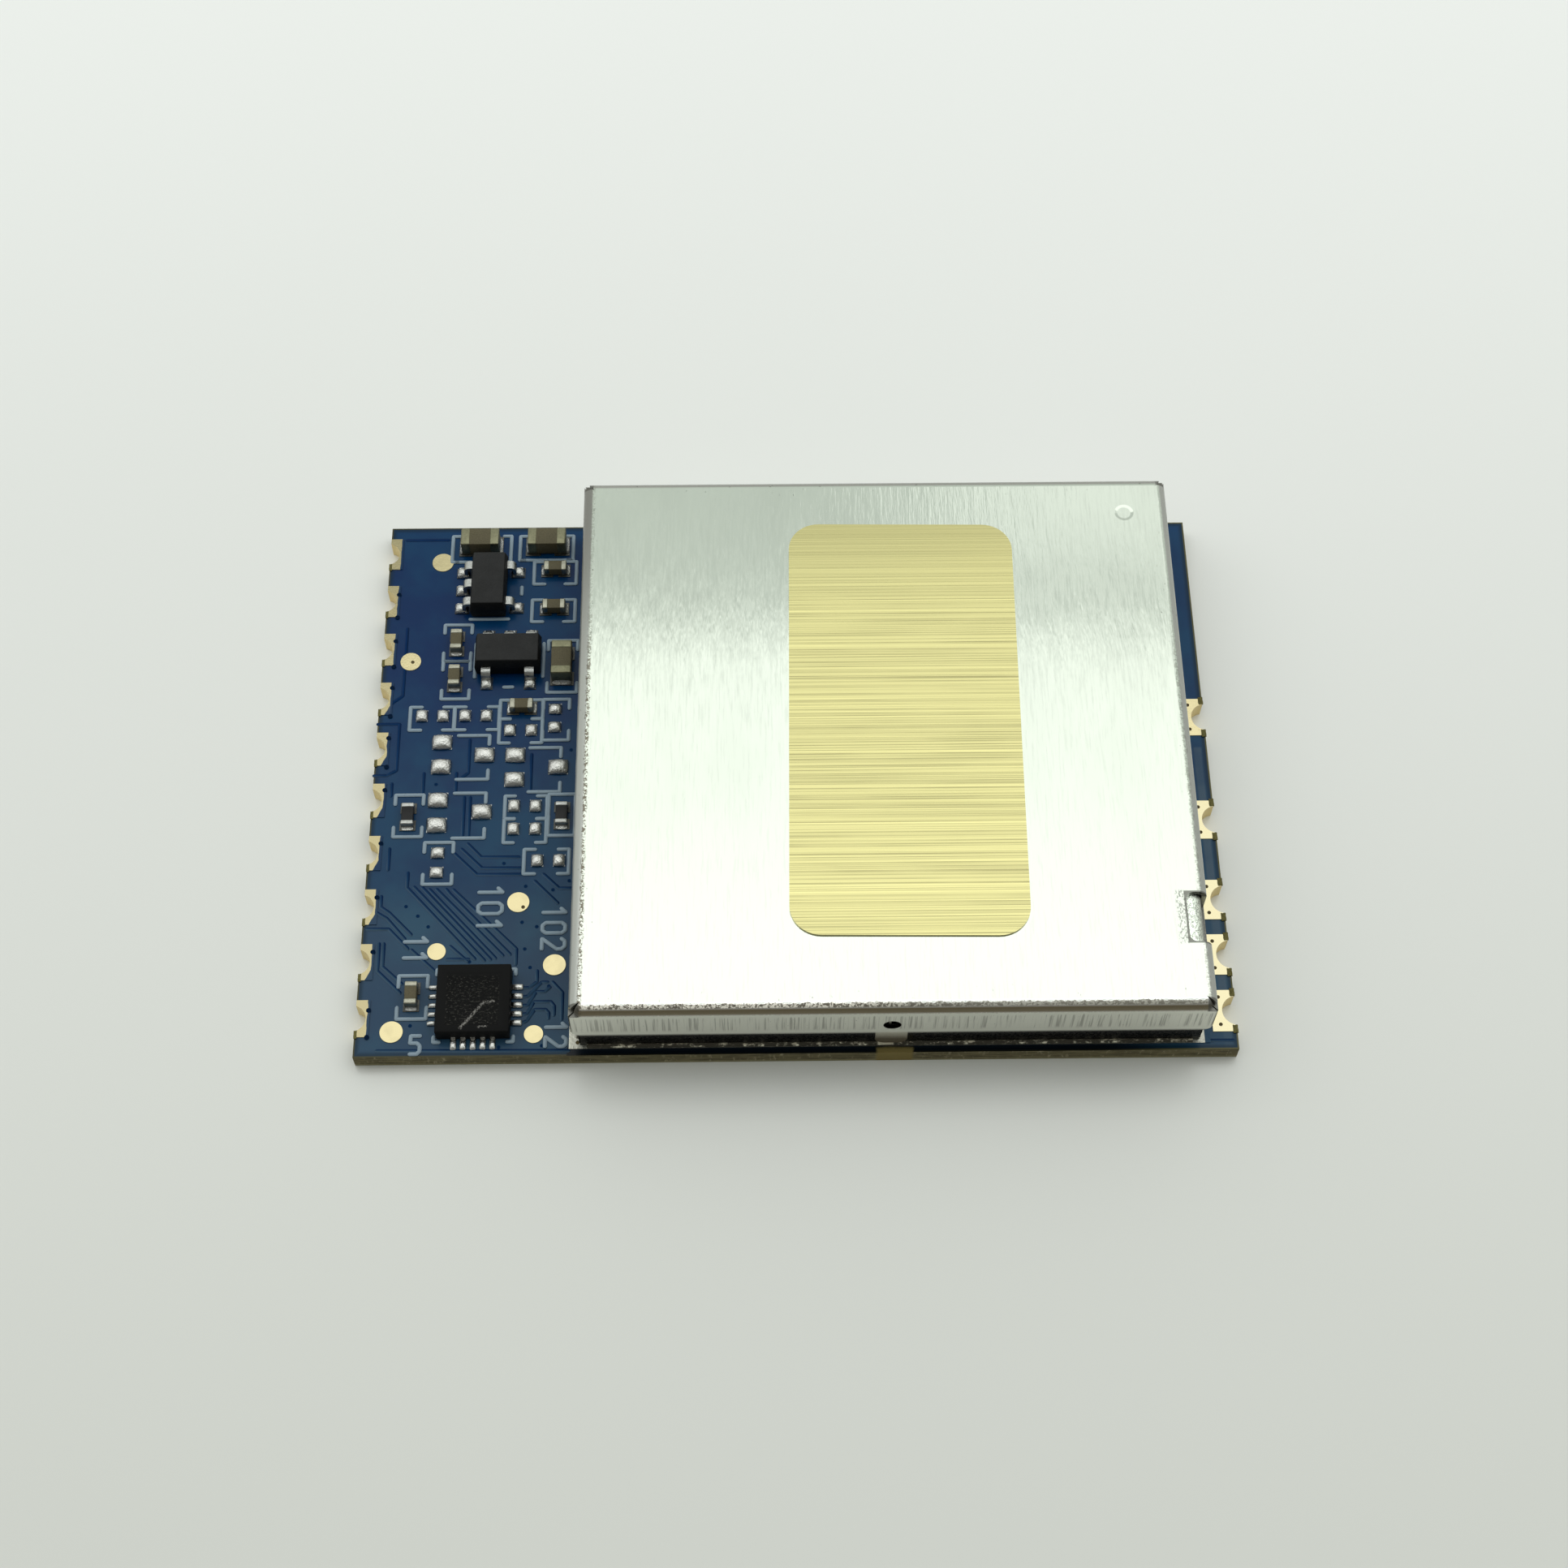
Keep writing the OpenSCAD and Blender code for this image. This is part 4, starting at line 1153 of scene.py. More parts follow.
def foil_finish():
    """Gold foil brushed along X: crisp lines, fewer towards its far end, where a painted shade darkens the
    gold.
    """
    f = Finish("gold_foil")
    foil = colours().foil
    fine = f.lines((0.0018, 1.9, 1))
    wide = f.lines((0.001, 0.7, 1))
    patchy = f.ramp(f.grain(2.6, 2.0, 0.5, (1.6, 0.3, 1)), 0.32, 0.62, 0.7, 1.1)
    brush = f.times(f.span(f.y, 9.0, 4.5, 0.35, 1.0), patchy)
    # Painted shade: the foil darker towards its far end
    colour = f.mix(f.span(f.y, 6.0, 10.2), foil, shade(foil, 0.76))
    # Light, wide dark and fine dark lines: where they lie, how strong they are and their share of the tint
    strokes = (
        (f.ramp(fine, 0.53, 0.62), 0.8, 1.30), (f.ramp(wide, 0.50, 0.42), 0.55, 0.68),
        (f.ramp(fine, 0.48, 0.40), 0.8, 0.46),
    )
    for where, strength, share in strokes:
        colour = f.mix(f.times(brush, where, strength), colour, shade(foil, share))
    # Painted shade on the foil's upright cut sides
    colour = f.mix(f.upright(), colour, shade(foil, 0.7))
    height = f.plus(f.times(fine, 0.3), f.times(wide, 0.4))
    f.set(base_color=colour, roughness=f.ramp(fine, 0.3, 0.7, 0.25, 0.38), normal=f.bump(height, 0.01, 0.5))
    return f.set(metallic=1.0)


def ink_finish():
    """Thin pale ink, patchy where the blue shows through."""
    f = Finish("silkscreen_ink")
    patch = f.grain(0.14, 3.0, 0.6)
    colour = f.mix(f.ramp(patch, 0.62, 0.80), colours().ink, shade(colours().ink, 0.62))
    return f.set(base_color=colour, normal=f.bump(patch, 0.01, 0.4), roughness=0.55)


def moulding_finish():
    """Black moulding compound with its fine sandy skin."""
    f = Finish("moulding")
    black = colours().moulding
    sand = f.grain(0.05, 3.0, 0.7)
    colour = f.mix(f.ramp(f.grain(0.7), 0.35, 0.7), black, shade(black, 1.5))
    # Painted shade on the upright sides
    colour = f.mix(f.upright(), colour, shade(black, 0.3))
    f.set(base_color=colour, roughness=f.ramp(sand, 0.3, 0.7, 0.48, 0.66), normal=f.bump(sand, 0.012, 0.6))
    return f.set(specular_ior_level=0.25)


def worn_chip_finish():
    """The control chip's moulding, with a ground field on its top and pale scratches across it."""
    f = Finish("worn_moulding")
    black = colours().moulding
    on_top = f.ramp(f.z, CHIP_HI.z - 0.03 * MM, CHIP_HI.z - 0.008 * MM)
    middle = (CHIP_MIDDLE.x - 0.02 * MM, CHIP_MIDDLE.y - 0.1 * MM)
    field = f.times(f.box(middle, (1.1 * MM, 1.12 * MM), 0.05 * MM), on_top)
    chips = f.grain(0.09, 3.0, 0.75, (1.5, 0.7, 1))
    scratches = []
    for start_x, start_y, run_x, run_y, width in CHIP_SCRATCHES:
        start = (start_x * MM, start_y * MM, 0)
        run = (run_x * MM, run_y * MM, 0)
        scratch = f.group(scratch_group(), place=f.at, start=start, run=run, width=width * MM)
        scratches.append(scratch["Mask"])
    colour = f.mix(field, shade(black, 0.95), shade(black, 0.7))
    colour = f.mix(f.times(field, f.ramp(chips, 0.54, 0.66), 0.45), colour, CHIP_PIT_TINT)
    colour = f.mix(f.times(on_top, f.most(*scratches), 0.62), colour, SCRATCH_TINT)
    height = f.plus(f.times(f.grain(0.045, 3.0, 0.7), 0.3), f.times(field, chips, 1.5))
    f.set(base_color=colour, roughness=f.ramp(field, 0, 1, 0.55, 0.50), normal=f.bump(height, 0.02, 0.8))
    return f.set(specular_ior_level=0.05)


def ceramic_finish(name, tint, roughness=0.5):
    """Fired ceramic with a fine grain."""
    f = Finish(name)
    grain = f.grain(0.06, 3.0, 0.6)
    colour = f.mix(f.ramp(grain, 0.35, 0.65), shade(tint, 0.8), tint)
    f.set(base_color=colour, normal=f.bump(grain, 0.01, 0.5))
    return f.set(roughness=roughness, specular_ior_level=0.2)


def via_finish(name="via", lift=1.0):
    """The mouth of a plated hole, painted dark as the shade inside it."""
    f = Finish(name)
    colour = f.mix(f.grain(0.08), *[shade(tint, lift) for tint in VIA_TINTS])
    return f.set(base_color=colour, roughness=0.6, specular_ior_level=0.03)


def track_finish():
    """Lacquer over copper, with a painted highlight on the slopes that face the near left and painted shade
    on those that face away.
    """
    f = Finish("masked_copper")
    mask = colours().mask
    normal = f.normal("Normal")
    facing = f.plus(*[f.times(normal[k], NEAR_LEFT[k]) for k in range(2)])
    colour = f.mix(f.ramp(f.grain(0.8), 0.35, 0.65), shade(mask, 0.85), mask)
    # Painted sheen towards the viewer and along the front, as on the lacquer
    colour = f.lift(colour, f.span(f.y, *NEAR_RANGE), NEAR_TONE)
    colour = f.lift(colour, f.span(f.y, *FRONT_RANGE), FRONT_TONE)
    # Painted highlight on the slopes that face the near left, strongest towards the viewer
    lit = f.times(f.ramp(facing, 0.10, 0.42), f.span(f.y, 4, -4, 0.25, 1.0))
    colour = f.lift(colour, lit, LIT_TONE)
    f.set(base_color=f.mix(f.ramp(facing, -0.02, -0.28), colour, SHADED_SLOPE_TINT))
    return f.set(roughness=0.24, specular_ior_level=0.1, specular_tint=(0.35, 0.6, 1.0))


def floor_finish():
    """Smooth pale card, with a painted shade that darkens it towards the viewer."""
    f = Finish("pale_floor")
    stage = bpy.context.scene.module_stage
    tint = f.mix(f.span(f.y, -60, 75), stage.floor_near, stage.floor_colour)
    f.set(base_color=f.mix(f.times(f.grain(30, 3.0), 0.03), tint, FLOOR_CLOUD_TINT))
    return f.set(roughness=0.25, specular_ior_level=0.5)


FINISHES = {
    "solder_mask": mask_finish,
    "gold": gold_finish,
    "solder": solder_finish,
    # Heaped solder takes the painted shade on its slopes
    "heaped_solder": lambda: solder_finish("heaped_solder", foot=0.7, rise=0.075),
    "sheet": sheet_finish,
    "fence": fence_finish,
    "seam": seam_finish,
    "burr": burr_finish,
    "foil": foil_finish,
    "ink": ink_finish,
    "moulding": moulding_finish,
    "worn_moulding": worn_chip_finish,
    "ceramic": lambda: ceramic_finish("capacitor_ceramic", colours().ceramic),
    "glaze": lambda: ceramic_finish("resistor_glaze", colours().glaze, 0.28),
    "pale_ceramic": lambda: ceramic_finish("pale_ceramic", colours().pale_ceramic),
    "ferrite": lambda: ceramic_finish("ferrite", colours().ferrite),
    "end_tin": lambda: solder_finish("end_tin", colours().end_tin, 0.34, 0.5),
    "cap_tin": lambda: solder_finish("cap_tin", CAP_TIN_TINT, 0.3, 0.45),
    "lead_tin": lambda: solder_finish("lead_tin", colours().lead_tin, 0.26, 0.42),
    # The component lands are painted dark, as the shade beside the fitted parts
    "dull_shaded_land": lambda: solder_finish("dull_shaded_land", SHADED_LAND_TINT, 0.4, 0.55),
    "ring_tin": ring_finish,
    "via": via_finish,
    "masked_via": lambda: via_finish("masked_via", 2.2),
    "land_via": lambda: ceramic_finish("land_via", LAND_VIA_TINT, 0.6),
    "track": track_finish,
    "floor": floor_finish,
}


@functools.cache
def finish(name):
    """A finish by name, made once."""
    return FINISHES[name]()


# Pieces


class MODULE_OT_stage(Operator):
    """Lay the floor, set the lights and place the camera"""

    bl_idname = "module.stage"
    bl_label = "Stage"

    def execute(self, context):
        stage = context.scene.module_stage
        deselect()
        bpy.ops.mesh.primitive_plane_add(size=stage.floor_size)
        floor = context.object
        floor.name = "floor"
        floor.data.materials.append(finish("floor"))
        self.light_world(context.scene, stage)
        self.add_light("key_light", stage.key_place, stage.key_size, stage.key_power)
        self.add_light("side_light", stage.side_place, stage.side_size, stage.side_power)
        self.add_camera(context.scene, stage)
        context.scene.view_settings.view_transform = "Standard"
        return {"FINISHED"}

    def light_world(self, scene, stage):
        """Pale light from above and behind, dimmer from the viewer's side and low down."""
        world = bpy.data.worlds.new("soft_room")
        world.use_nodes = True
        scene.world = world
        build = Tree(world.node_tree)
        _, away, up = build.axes(build.node("ShaderNodeTexCoord").outputs["Generated"])
        behind = build.ramp(build.plus(away, build.times(up, 0.6)), -0.5, 0.75)
        sky = build.mix(build.ramp(up, 0.05, 0.7), stage.horizon_colour, stage.sky_colour)
        front = build.mix(build.ramp(up, 0.62, 0.42), stage.front_colour, stage.front_low)
        front = build.mix(build.ramp(up, 0.16, 0.04), front, stage.front_rim)
        build.put(build.mix(behind, front, sky), world.node_tree.nodes["Background"].inputs["Color"])

    def add_light(self, name, place, size, power):
        """A soft panel that faces down."""
        deselect()
        bpy.ops.object.light_add(type="AREA", location=place)
        panel = bpy.context.object
        panel.name = name
        panel.data.shape = "RECTANGLE"
        panel.data.size, panel.data.size_y = size
        panel.data.energy = power

    def add_camera(self, scene, stage):
        """The photograph's camera."""
        camera = bpy.data.objects.new("camera", bpy.data.cameras.new("camera"))
        scene.collection.objects.link(camera)
        turn = Matrix((CAMERA_RIGHT, CAMERA_UP, CAMERA_BACK)).transposed()
        camera.matrix_world = Matrix.Translation(CAMERA_PLACE) @ turn.to_4x4()
        camera.data.sensor_width = SENSOR_WIDTH
        camera.data.lens = stage.lens
        camera.data.clip_start = 1 * MM
        camera.data.clip_end = 20
        scene.camera = camera


class MODULE_OT_board(Operator):
    """Finish the board and raise its tracks and vias under the mask"""

    bl_idname = "module.board"
    bl_label = "Board"

    mouth_height = 0.08 * MM
    # Widths of the three kinds of holes, as shares of a via's width
    masked_share = 0.7
    land_share = 0.72
    corner_share = 0.95

    def execute(self, context):
        sizes = context.scene.module_sizes
        dress("circuit_board", finish("solder_mask"))
        tracks = stroke_piece("masked_tracks", TRACKS, sizes.track_width, sizes.track_rise, BOARD_TOP)
        settle(tracks, finish("track"), "solder_mask")
        self.add_vias(sizes.via_width)
        return {"FINISHED"}

    def land_vias(self):
        """Two small holes beside each right half hole, in millimetres."""
        places = []
        for lo, hi in solids_of("right_castellations"):
            middle = (lo.y + hi.y) / 2 / MM
            places += [(lo.x / MM + LAND_VIA_IN, middle + side * LAND_VIA_APART) for side in (-1, 1)]
        return places

    def mouth(self):
        """The dimpled mouth of a plated hole, one wide."""
        deselect()
        bpy.ops.mesh.primitive_cylinder_add(vertices=20, radius=0.5, depth=0.2, location=(0, 0, 0))
        mouth = bpy.context.object
        edit(mouth)
        pick(mouth, "FACE", lambda middle, corners: middle.z > 0.09 and len(corners) > 4)
        bpy.ops.mesh.inset(thickness=0.16, depth=0)
        bpy.ops.mesh.inset(thickness=0.1, depth=-0.06)
        close()
        smooth(mouth, 50)
        return mouth

    def add_vias(self, width):
        """Copies one mouth to each plated hole."""
        mouth = self.mouth()
        land_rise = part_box("test_pads")[1].z - BOARD_TOP
        corners = [(CORNER_VIA_X, y) for y in CORNER_VIA_Y]
        kinds = {
            "masked_vias": (MASKED_VIAS, 0, self.masked_share, "masked_via"),
            "land_vias": (LAND_VIAS + self.land_vias(), land_rise, self.land_share, "land_via"),
            "corner_vias": (corners, land_rise, self.corner_share, "via"),
        }
        for name, (places, lift, share, look) in kinds.items():
            shape = Matrix.Diagonal((width * share, width * share, self.mouth_height, 1))
            copies = []
            for x, y in places:
                place = Matrix.Translation((x * MM, y * MM, BOARD_TOP + lift))
                copies.append(copy_of(mouth, "via", place @ shape))
            settle(join(copies, name), finish(look), "solder_mask")
        discard(mouth)


class MODULE_OT_silkscreen(Operator):
    """Print the outlines and plain pad numbers"""

    bl_idname = "module.silkscreen"
    bl_label = "Silkscreen"

    # How much of the ink's rise its middle stands over the board, and how much bolder the numbers are
    lift = 0.6
    number_boldness = 1.05
    # Marks round a regulator's middle, in millimetres: its end bars, and the dash between two feet
    bar_ends = (-0.85, 0.88)
    bar_reach = 1.50
    dash_reach = 1.40
    dash_half = 0.2
    # Corner marks round the control chip's middle, in millimetres
    corner_reach = 1.62
    corner_leg = 0.24

    def execute(self, context):
        sizes = context.scene.module_sizes
        strokes = list(LOOSE_STROKES)
        for place in BRACKETS:
            strokes += self.bracket_pair(*place)
        for place in THREE_LANDS:
            strokes += self.three_land_marks(*place)
        for name in REGULATORS:
            strokes += self.regulator_marks(name)
        strokes += self.chip_corners()
        digits = [stroke for number in PAD_NUMBERS for stroke in self.number(*number)]
        bold = sizes.silk_width * self.number_boldness
        self.print_strokes("silkscreen_outlines", strokes, sizes.silk_width, sizes.silk_rise)
        self.print_strokes("silkscreen_numbers", digits, bold, sizes.silk_rise)
        return {"FINISHED"}

    def print_strokes(self, name, strokes, width, rise):
        """One piece of ink along strokes."""
        ink = stroke_piece(name, strokes, width, rise, BOARD_TOP + self.lift * rise)
        settle(ink, finish("ink"), "solder_mask")

    def turned(self, points, x, y, turn):
        """Points turned about the origin by degrees, then moved."""
        c = math.cos(math.radians(turn))
        s = math.sin(math.radians(turn))
        return [(x + c * px - s * py, y + s * px + c * py) for px, py in points]

    def bracket_pair(self, x, y, turn, reach, half, stub):
        """Square brackets at the two ends of a footprint."""
        inner = reach - stub
        bracket = [(inner, half), (reach, half), (reach, -half), (inner, -half)]
        return [self.turned([(side * px, py) for px, py in bracket], x, y, turn) for side in (-1, 1)]

    def three_land_marks(self, x, y):
        """Two corner marks on the single land's side of a three-land footprint."""
        leg = THREE_LAND_HALF - THREE_LAND_LEG
        mark = [(-THREE_LAND_BAR, THREE_LAND_HALF), (0, THREE_LAND_HALF), (0, leg)]
        return [self.turned([(px, side * py) for px, py in mark], x, y, 0) for side in (-1, 1)]

    def regulator_marks(self, name):
        """A bar past each end of a regulator and a dash between its two outer feet."""
        lo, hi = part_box(name + "_body")
        middle = (lo + hi) / 2 / MM
        turn = 0 if long_axis(lo, hi) else -90
        bars = [[(x, end) for x in self.bar_ends] for end in (-self.bar_reach, self.bar_reach)]
        dash = [(self.dash_reach, -self.dash_half), (self.dash_reach, self.dash_half)]
        return [self.turned(stroke, middle.x, middle.y, turn) for stroke in (*bars, dash)]

    def chip_corners(self):
        """Small corner marks round the control chip."""
        middle = CHIP_MIDDLE / MM
        far = self.corner_reach
        near = far - self.corner_leg
        corner = [(near, far), (far, far), (far, near)]
        marks = []
        for side_x in (-1, 1):
            for side_y in (-1, 1):
                mark = [(side_x * x, side_y * y) for x, y in corner]
                marks.append(self.turned(mark, middle.x, middle.y, 0))
        return marks

    def number(self, text, x, y, turn, height):
        """Strokes of a plain number."""
        unit = height / DIGIT_HEIGHT
        strokes = []
        for i, digit in enumerate(text):
            points = [((px + i * DIGIT_STEP) * unit, py * unit) for px, py in DIGIT_STROKES[digit]]
            strokes.append(self.turned(points, x, y, turn))
        return strokes


class MODULE_OT_contacts(Operator):
    """Finish the plated half holes, the test pads and the tinned lands"""

    bl_idname = "module.contacts"
    bl_label = "Contacts"

    burr_height = 0.03 * MM
    # A left burr's width as a share of a right one's, and where a burr's middle lies in from the edge and
    # from the land's end, as shares of its width and length
    left_share = 0.6
    edge_share = 0.36
    end_share = 0.3

    def execute(self, context):
        for node in ("left_castellations", "right_castellations", "test_pads"):
            dress(node, finish("gold"))
        dress("spare_lands", finish("lead_tin"))
        # Painted shade on the component lands
        dress("component_lands", finish("dull_shaded_land"))
        dress("shield_land_ring", finish("ring_tin"))
        self.add_burrs(context.scene.module_sizes)
        return {"FINISHED"}

    def burr(self):
        """A ragged lump of laminate, one wide, one long and one high."""
        burr = add_block("burr", (-0.5, -0.5, -0.5), (0.5, 0.5, 0.5))
        edit(burr)
        pick(burr, "FACE", lambda middle, corners: middle.z > 0.49)
        bpy.ops.mesh.inset(thickness=0.2, depth=0.1)
        bpy.ops.mesh.select_all(action="SELECT")
        bpy.ops.mesh.subdivide(number_cuts=2)
        bpy.ops.transform.vertex_random(offset=0.06, uniform=1.0, seed=3)
        close()
        smooth(burr, 70)
        return burr

    def add_burrs(self, sizes):
        """Copies one burr to both ends of each right land, and to the near end of each left one."""
        burr = self.burr()
        length = sizes.burr_length
        rows = (
            ("right_castellations", BOARD_HI.x, sizes.burr_width, (-1, 1)),
            ("left_castellations", BOARD_LO.x, self.left_share * sizes.burr_width, (-1,)),
        )
        copies = []
        for node, outer, width, ends in rows:
            x = outer - math.copysign(self.edge_share * width, outer)
            shape = Matrix.Diagonal((width, length, self.burr_height, 1))
            for lo, hi in solids_of(node):
                for end in ends:
                    y = (hi.y if end > 0 else lo.y) - end * self.end_share * length
                    copies.append(copy_of(burr, "burr", Matrix.Translation((x, y, hi.z)) @ shape))
        discard(burr)
        settle(join(copies, "contact_burrs"), finish("burr"), "solder_mask")


class MODULE_OT_solder(Operator):
    """Heap solder on the spare lands and against the ends and feet of the fitted parts"""

    bl_idname = "module.solder"
    bl_label = "Solder"

    variants = 4
    # Lands that are wider than this carry squarer heaps
    large_land = 0.6 * MM
    round_crease = 0.5
    square_crease = 0.62
    # How far a heap spills over its land, as a share of the land
    spill = 0.03
    # Heights of the solder on a regulator's land and on a chip's finger
    foot_rise = 0.24 * MM
    finger_rise = 0.11 * MM
    # How deep a fillet starts in its end cap, and its width as a share of the cap's
    cap_overlap = 0.02 * MM
    cap_share = 0.96
    # How far the solder reaches past the chip on its left and far sides, and on its near and right ones,
    # where it also spreads, and how deep it starts under the chip
    hidden_reach = (0.42 * MM, 0.34 * MM)
    shown_reach = 0.47 * MM
    shown_spread = 0.03 * MM
    finger_overlap = 0.03 * MM
    # A longer land near the chip is none of its fingers
    finger_limit = 1 * MM

    def execute(self, context):
        sizes = context.scene.module_sizes
        round_heaps = [self.heap(seed, self.round_crease) for seed in range(self.variants)]
        heaps = [self.heap(seed, self.square_crease) for seed in range(self.variants)]
        fillet = self.fillet()
        spare = self.land_heaps(heaps, round_heaps, sizes.solder_rise)
        settle(join(spare, "spare_land_solder"), finish("heaped_solder"), "solder")
        beads = self.cap_beads(fillet, sizes.foot_solder) + self.foot_beads(heaps)
        settle(join(beads, "component_solder"), finish("heaped_solder"), "solder")
        settle(join(self.terminal_beads(heaps), "chip_solder"), finish("solder"), "solder")
        discard(fillet, *heaps, *round_heaps)
        return {"FINISHED"}

    def heap(self, seed, crease):
        """A dome of solder with a rounded square foot, one wide, one long and standing one high."""
        heap = add_block("solder_heap", (-0.5, -0.5, -0.5), (0.5, 0.5, 0.5))
        edit(heap)
        pick(heap, "EDGE", lambda middle, corners: abs(middle.z) < 0.01)
        bpy.ops.transform.edge_crease(value=crease)
        bpy.ops.mesh.select_all(action="SELECT")
        bpy.ops.transform.vertex_random(offset=0.05, uniform=1.0, seed=seed)
        close()
        subdivide_surface(heap, 3)
        edit(heap)
        bpy.ops.mesh.select_all(action="SELECT")
        bpy.ops.mesh.bisect(plane_co=(0, 0, 0), plane_no=(0, 0, 1), use_fill=True, clear_inner=True)
        close()
        take(heap)
        heap.scale = [1 / size for size in heap.dimensions]
        settle_place()
        smooth(heap, 80)
        return heap

    def fillet(self):
        """A hollow slope of solder: full height at x = 0, thin at x = 1, one wide."""
        slope = add_block("solder_fillet", (0, -0.5, 0), (0.3, 0.5, 1))
        edit(slope)
        pick(slope, "EDGE", lambda middle, corners: middle.x > 0.29 and middle.z > 0.9)
        bpy.ops.transform.translate(value=(0, 0, -0.58))
        pick(slope, "FACE", lambda middle, corners: all(v.co.x > 0.29 for v in corners))
        bpy.ops.mesh.extrude_region_move(TRANSFORM_OT_translate={"value": (0.7, 0, 0)})
        pick(slope, "EDGE", lambda middle, corners: middle.x > 0.99 and middle.z > 0.3)
        bpy.ops.transform.translate(value=(0, 0, -0.30))
        pick(slope, "EDGE", lambda middle, corners: middle.z < 0.01 or middle.x < 0.01)
        bpy.ops.transform.edge_crease(value=0.8)
        close()
        subdivide_surface(slope, 2)
        smooth(slope, 80)
        return slope

    def placed(self, template, lo, hi, rise):
        """A template set on the top of a land's box, in its middle."""
        size = hi - lo
        place = Matrix.Translation(((lo.x + hi.x) / 2, (lo.y + hi.y) / 2, hi.z))
        return copy_of(template, "bead", place @ Matrix.Diagonal((size.x, size.y, rise, 1)))

    def land_heaps(self, heaps, round_heaps, share):
        """A heap on every spare land, as high as a share of the land's shorter side."""
        beads = []
        for i, (lo, hi) in enumerate(solids_of("spare_lands")):
            size = hi - lo
            shorter = min(size.x, size.y)
            spill = Vector((size.x, size.y, 0)) * self.spill
            shapes = heaps if shorter > self.large_land else round_heaps
            beads.append(self.placed(shapes[i % self.variants], lo - spill, hi + spill, share * shorter))
        return beads

    def cap_beads(self, fillet, share):
        """Fillets against both end caps of every chip part."""
        beads = []
        lands = solids_of("component_lands")
        for name in chip_parts():
            lo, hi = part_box(name + "_terminals")
            along = long_axis(lo, hi)
            size = hi - lo
            for side in (-1, 1):
                end = hi[along] if side > 0 else lo[along]
                place = (lo + hi) / 2
                place[along] = end
                land_lo, land_hi = next(land for land in lands if inside(place, *land))
                land_end = land_hi[along] if side > 0 else land_lo[along]
                place[along] = end - side * self.cap_overlap
                place.z = land_hi.z
                reach = abs(land_end - end) + self.cap_overlap
                shape = Matrix.Diagonal((reach, size[1 - along] * self.cap_share, size.z * share, 1))
                turn = (0 if side > 0 else math.pi) + (math.pi / 2 if along else 0)
                turned = Matrix.Translation(place) @ Matrix.Rotation(turn, 4, "Z")
                beads.append(copy_of(fillet, "bead", turned @ shape))
        return beads

    def foot_beads(self, heaps):
        """Solder round the regulators' feet."""
        beads = []
        margin = Vector((0.2, 0.2, 0)) * MM
        for name in REGULATORS:
            lo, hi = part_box(name + "_leads")
            lands = solids_of("component_lands")
            feet = [land for land in lands if inside(sum(land, Vector()) / 2, lo - margin, hi + margin)]
            for i, (land_lo, land_hi) in enumerate(feet):
                beads.append(self.placed(heaps[i % self.variants], land_lo, land_hi, self.foot_rise))
        return beads

    def terminal_beads(self, heaps):
        """Solder on the fingers that show past the control chip's sides."""
        beads = []
        margin = Vector((0.3, 0.3, 0)) * MM
        for i, (lo, hi) in enumerate(solids_of("component_lands")):
            centre = (lo + hi) / 2
            beside = inside(centre, CHIP_LO - margin, CHIP_HI + margin)
            if not beside or (hi - lo).length > self.finger_limit:
                continue
            away = centre - CHIP_MIDDLE
            along = 0 if abs(away.x) > abs(away.y) else 1
            side = 1 if away[along] > 0 else -1
            edge = CHIP_HI[along] if side > 0 else CHIP_LO[along]
            shown = side < 0 if along else side > 0
            reach = self.shown_reach if shown else self.hidden_reach[along]
            lo[along], hi[along] = sorted((edge - side * self.finger_overlap, edge + side * reach))
            if shown:
                lo[1 - along] -= self.shown_spread
                hi[1 - along] += self.shown_spread
            beads.append(self.placed(heaps[i % self.variants], lo, hi, self.finger_rise))
        return beads


class MODULE_OT_chip_parts(Operator):
    """Model the capacitors and resistors with rounded bodies and end caps"""

    bl_idname = "module.chip_parts"
    bl_label = "Capacitors and Resistors"

    def execute(self, context):
        sizes = context.scene.module_sizes
        for name in chip_parts():
            self.add_body(name, sizes.ceramic_round)
            self.add_caps(name, sizes.cap_round)
        return {"FINISHED"}

    def add_body(self, name, radius):
        """The ceramic body, with softened edges."""
        body = add_block(name + "_ceramic", *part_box(name + "_body"))
        round_edges(body, radius, 2)
        if family_of(name) == "resistor":
            settle(body, finish("glaze"), "resistor_glaze", name + "_body")
        else:
            settle(body, finish("ceramic"), "capacitor_ceramic", name + "_body")

    def add_caps(self, name, radius):
        """Two end caps with well rounded edges."""
        lo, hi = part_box(name + "_terminals")
        along = long_axis(lo, hi)
        length = CAP_LENGTHS[family_of(name)]
        caps = []
        for side in (-1, 1):
            cap_lo = lo.copy()
            cap_hi = hi.copy()
            if side < 0:
                cap_hi[along] = lo[along] + length
            else:
                cap_lo[along] = hi[along] - length
            cap = add_block("cap", cap_lo, cap_hi)
            round_edges(cap, radius, 3)
            caps.append(cap)
        tin = finish(CAP_FINISHES[family_of(name)])
        settle(join(caps, name + "_caps"), tin, "solder", name + "_terminals")


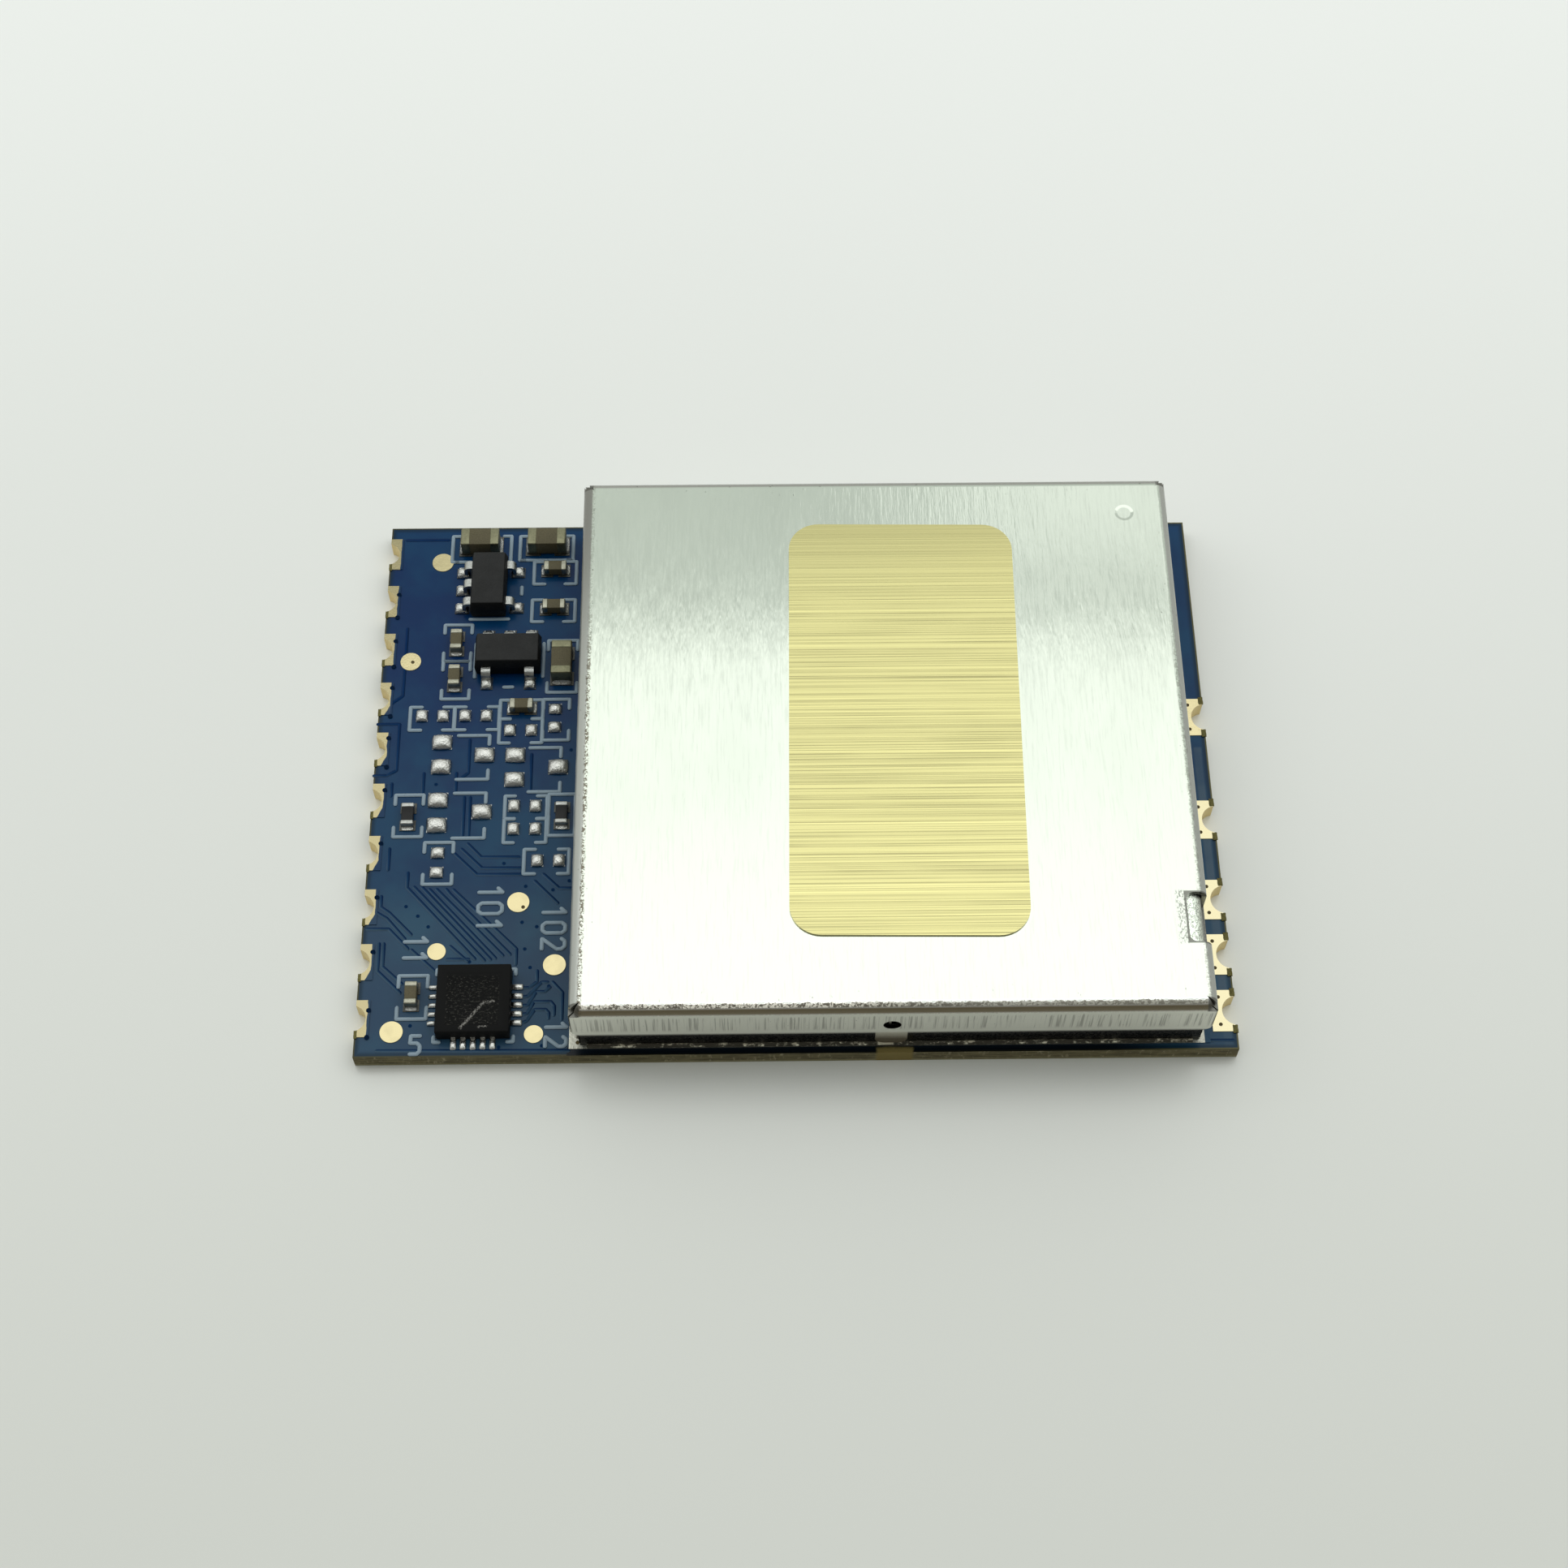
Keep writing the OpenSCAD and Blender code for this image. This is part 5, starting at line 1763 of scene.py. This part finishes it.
class MODULE_OT_regulators(Operator):
    """Model the moulded regulator bodies and finish their leads"""

    bl_idname = "module.regulators"
    bl_label = "Regulators"

    draft = 0.1 * MM
    # The parting line's height, as a share of the body's
    belt = 0.55

    def execute(self, context):
        for name in REGULATORS:
            self.add_body(name, context.scene.module_sizes.mould_round)
            dress(name + "_leads", finish("lead_tin"))
        return {"FINISHED"}

    def add_body(self, name, radius):
        """A block leaning in above and below its parting line, with softened edges."""
        lo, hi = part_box(name + "_body")
        body = add_block(name + "_moulding", lo, hi)
        middle = (lo + hi) / 2
        size = hi - lo
        edit(body)
        bpy.ops.mesh.select_all(action="SELECT")
        belt = (middle.x, middle.y, lo.z + self.belt * size.z)
        bpy.ops.mesh.bisect(plane_co=belt, plane_no=(0, 0, 1))
        for level, share in ((hi.z, 2), (lo.z, 1)):
            pick(body, "FACE", lambda at, corners: abs(at.z - level) < SAME_PLACE)
            factors = [1 - share * self.draft / size[k] for k in (0, 1)]
            bpy.ops.transform.resize(value=(*factors, 1), center_override=(middle.x, middle.y, level))
        close()
        round_edges(body, radius, 3, lambda at, corners: at.z > belt[2] + SAME_PLACE)
        settle(body, finish("moulding"), "chip_mould", name + "_body")


class MODULE_OT_control_chip(Operator):
    """Model the worn control chip"""

    bl_idname = "module.control_chip"
    bl_label = "Control Chip"

    # The ground field on its top: the margin round it, the width of its edge and its depth
    margin = 0.36 * MM
    field_edge = 0.03 * MM
    field_depth = 0.012 * MM
    # Its edge radius, as a share of a moulded package's
    edge_share = 0.7

    def execute(self, context):
        body = add_block("control_chip_moulding", CHIP_LO, CHIP_HI)
        edit(body)
        pick(body, "FACE", lambda at, corners: at.z > CHIP_HI.z - SAME_PLACE)
        bpy.ops.mesh.inset(thickness=self.margin, depth=0)
        bpy.ops.mesh.inset(thickness=self.field_edge, depth=-self.field_depth)
        close()
        radius = context.scene.module_sizes.mould_round * self.edge_share
        round_edges(body, radius, 2, self.on_outside)
        settle(body, finish("worn_moulding"), "chip_mould", "control_chip")
        dress("control_chip_terminals", finish("solder"))
        return {"FINISHED"}

    def on_outside(self, at, corners):
        """Edges of the outer block, and not those of the ground field."""
        return any(abs(at[k] - bound[k]) < SAME_PLACE for k in (0, 1) for bound in (CHIP_LO, CHIP_HI))


class MODULE_OT_shield(Operator):
    """Finish the lid, the fence and its solder seam"""

    bl_idname = "module.shield"
    bl_label = "Shield"

    def execute(self, context):
        dress("shield_lid", finish("sheet"))
        dress("shield_frame", finish("fence"))
        dress("shield_solder", finish("seam"))
        return {"FINISHED"}


class MODULE_OT_label(Operator):
    """Finish the foil label"""

    bl_idname = "module.label"
    bl_label = "Label"

    def execute(self, context):
        dress("label", finish("foil"))
        return {"FINISHED"}


class MODULE_OT_inner_parts(Operator):
    """Finish the parts under the shield"""

    bl_idname = "module.inner_parts"
    bl_label = "Parts under the Shield"

    def execute(self, context):
        for node, name in INNER_FINISHES.items():
            dress(node, finish(name))
        return {"FINISHED"}


OPERATORS = (
    MODULE_OT_stage, MODULE_OT_board, MODULE_OT_silkscreen, MODULE_OT_contacts, MODULE_OT_solder,
    MODULE_OT_chip_parts, MODULE_OT_regulators, MODULE_OT_control_chip, MODULE_OT_shield, MODULE_OT_label,
    MODULE_OT_inner_parts,
)


class MODULE_PT_sidebar(Panel):
    """Lists the pieces in the order in which they are made"""

    bl_label = "Transmitter Module"
    bl_idname = "MODULE_PT_sidebar"
    bl_space_type = "VIEW_3D"
    bl_region_type = "UI"
    bl_category = "Module"

    def draw(self, context):
        for operator in OPERATORS:
            self.layout.operator(operator.bl_idname)
        for group in (context.scene.module_sizes, context.scene.module_colours, context.scene.module_stage):
            column = self.layout.column()
            for key in group.__annotations__:
                column.prop(group, key)


GROUPS = {"module_sizes": ModuleSizes, "module_colours": ModuleColours, "module_stage": ModuleStage}
CLASSES = (*GROUPS.values(), *OPERATORS, MODULE_PT_sidebar)


def register():
    for cls in CLASSES:
        bpy.utils.register_class(cls)
    for key, group in GROUPS.items():
        setattr(bpy.types.Scene, key, PointerProperty(type=group))


def unregister():
    for key in GROUPS:
        delattr(bpy.types.Scene, key)
    for cls in reversed(CLASSES):
        bpy.utils.unregister_class(cls)


def main():
    register()
    bpy.ops.module.stage()
    bpy.ops.module.board()
    bpy.ops.module.silkscreen()
    bpy.ops.module.contacts()
    bpy.ops.module.solder()
    bpy.ops.module.chip_parts()
    bpy.ops.module.regulators()
    bpy.ops.module.control_chip()
    bpy.ops.module.shield()
    bpy.ops.module.label()
    bpy.ops.module.inner_parts()
    deselect()


if __name__ == "__main__":
    main()
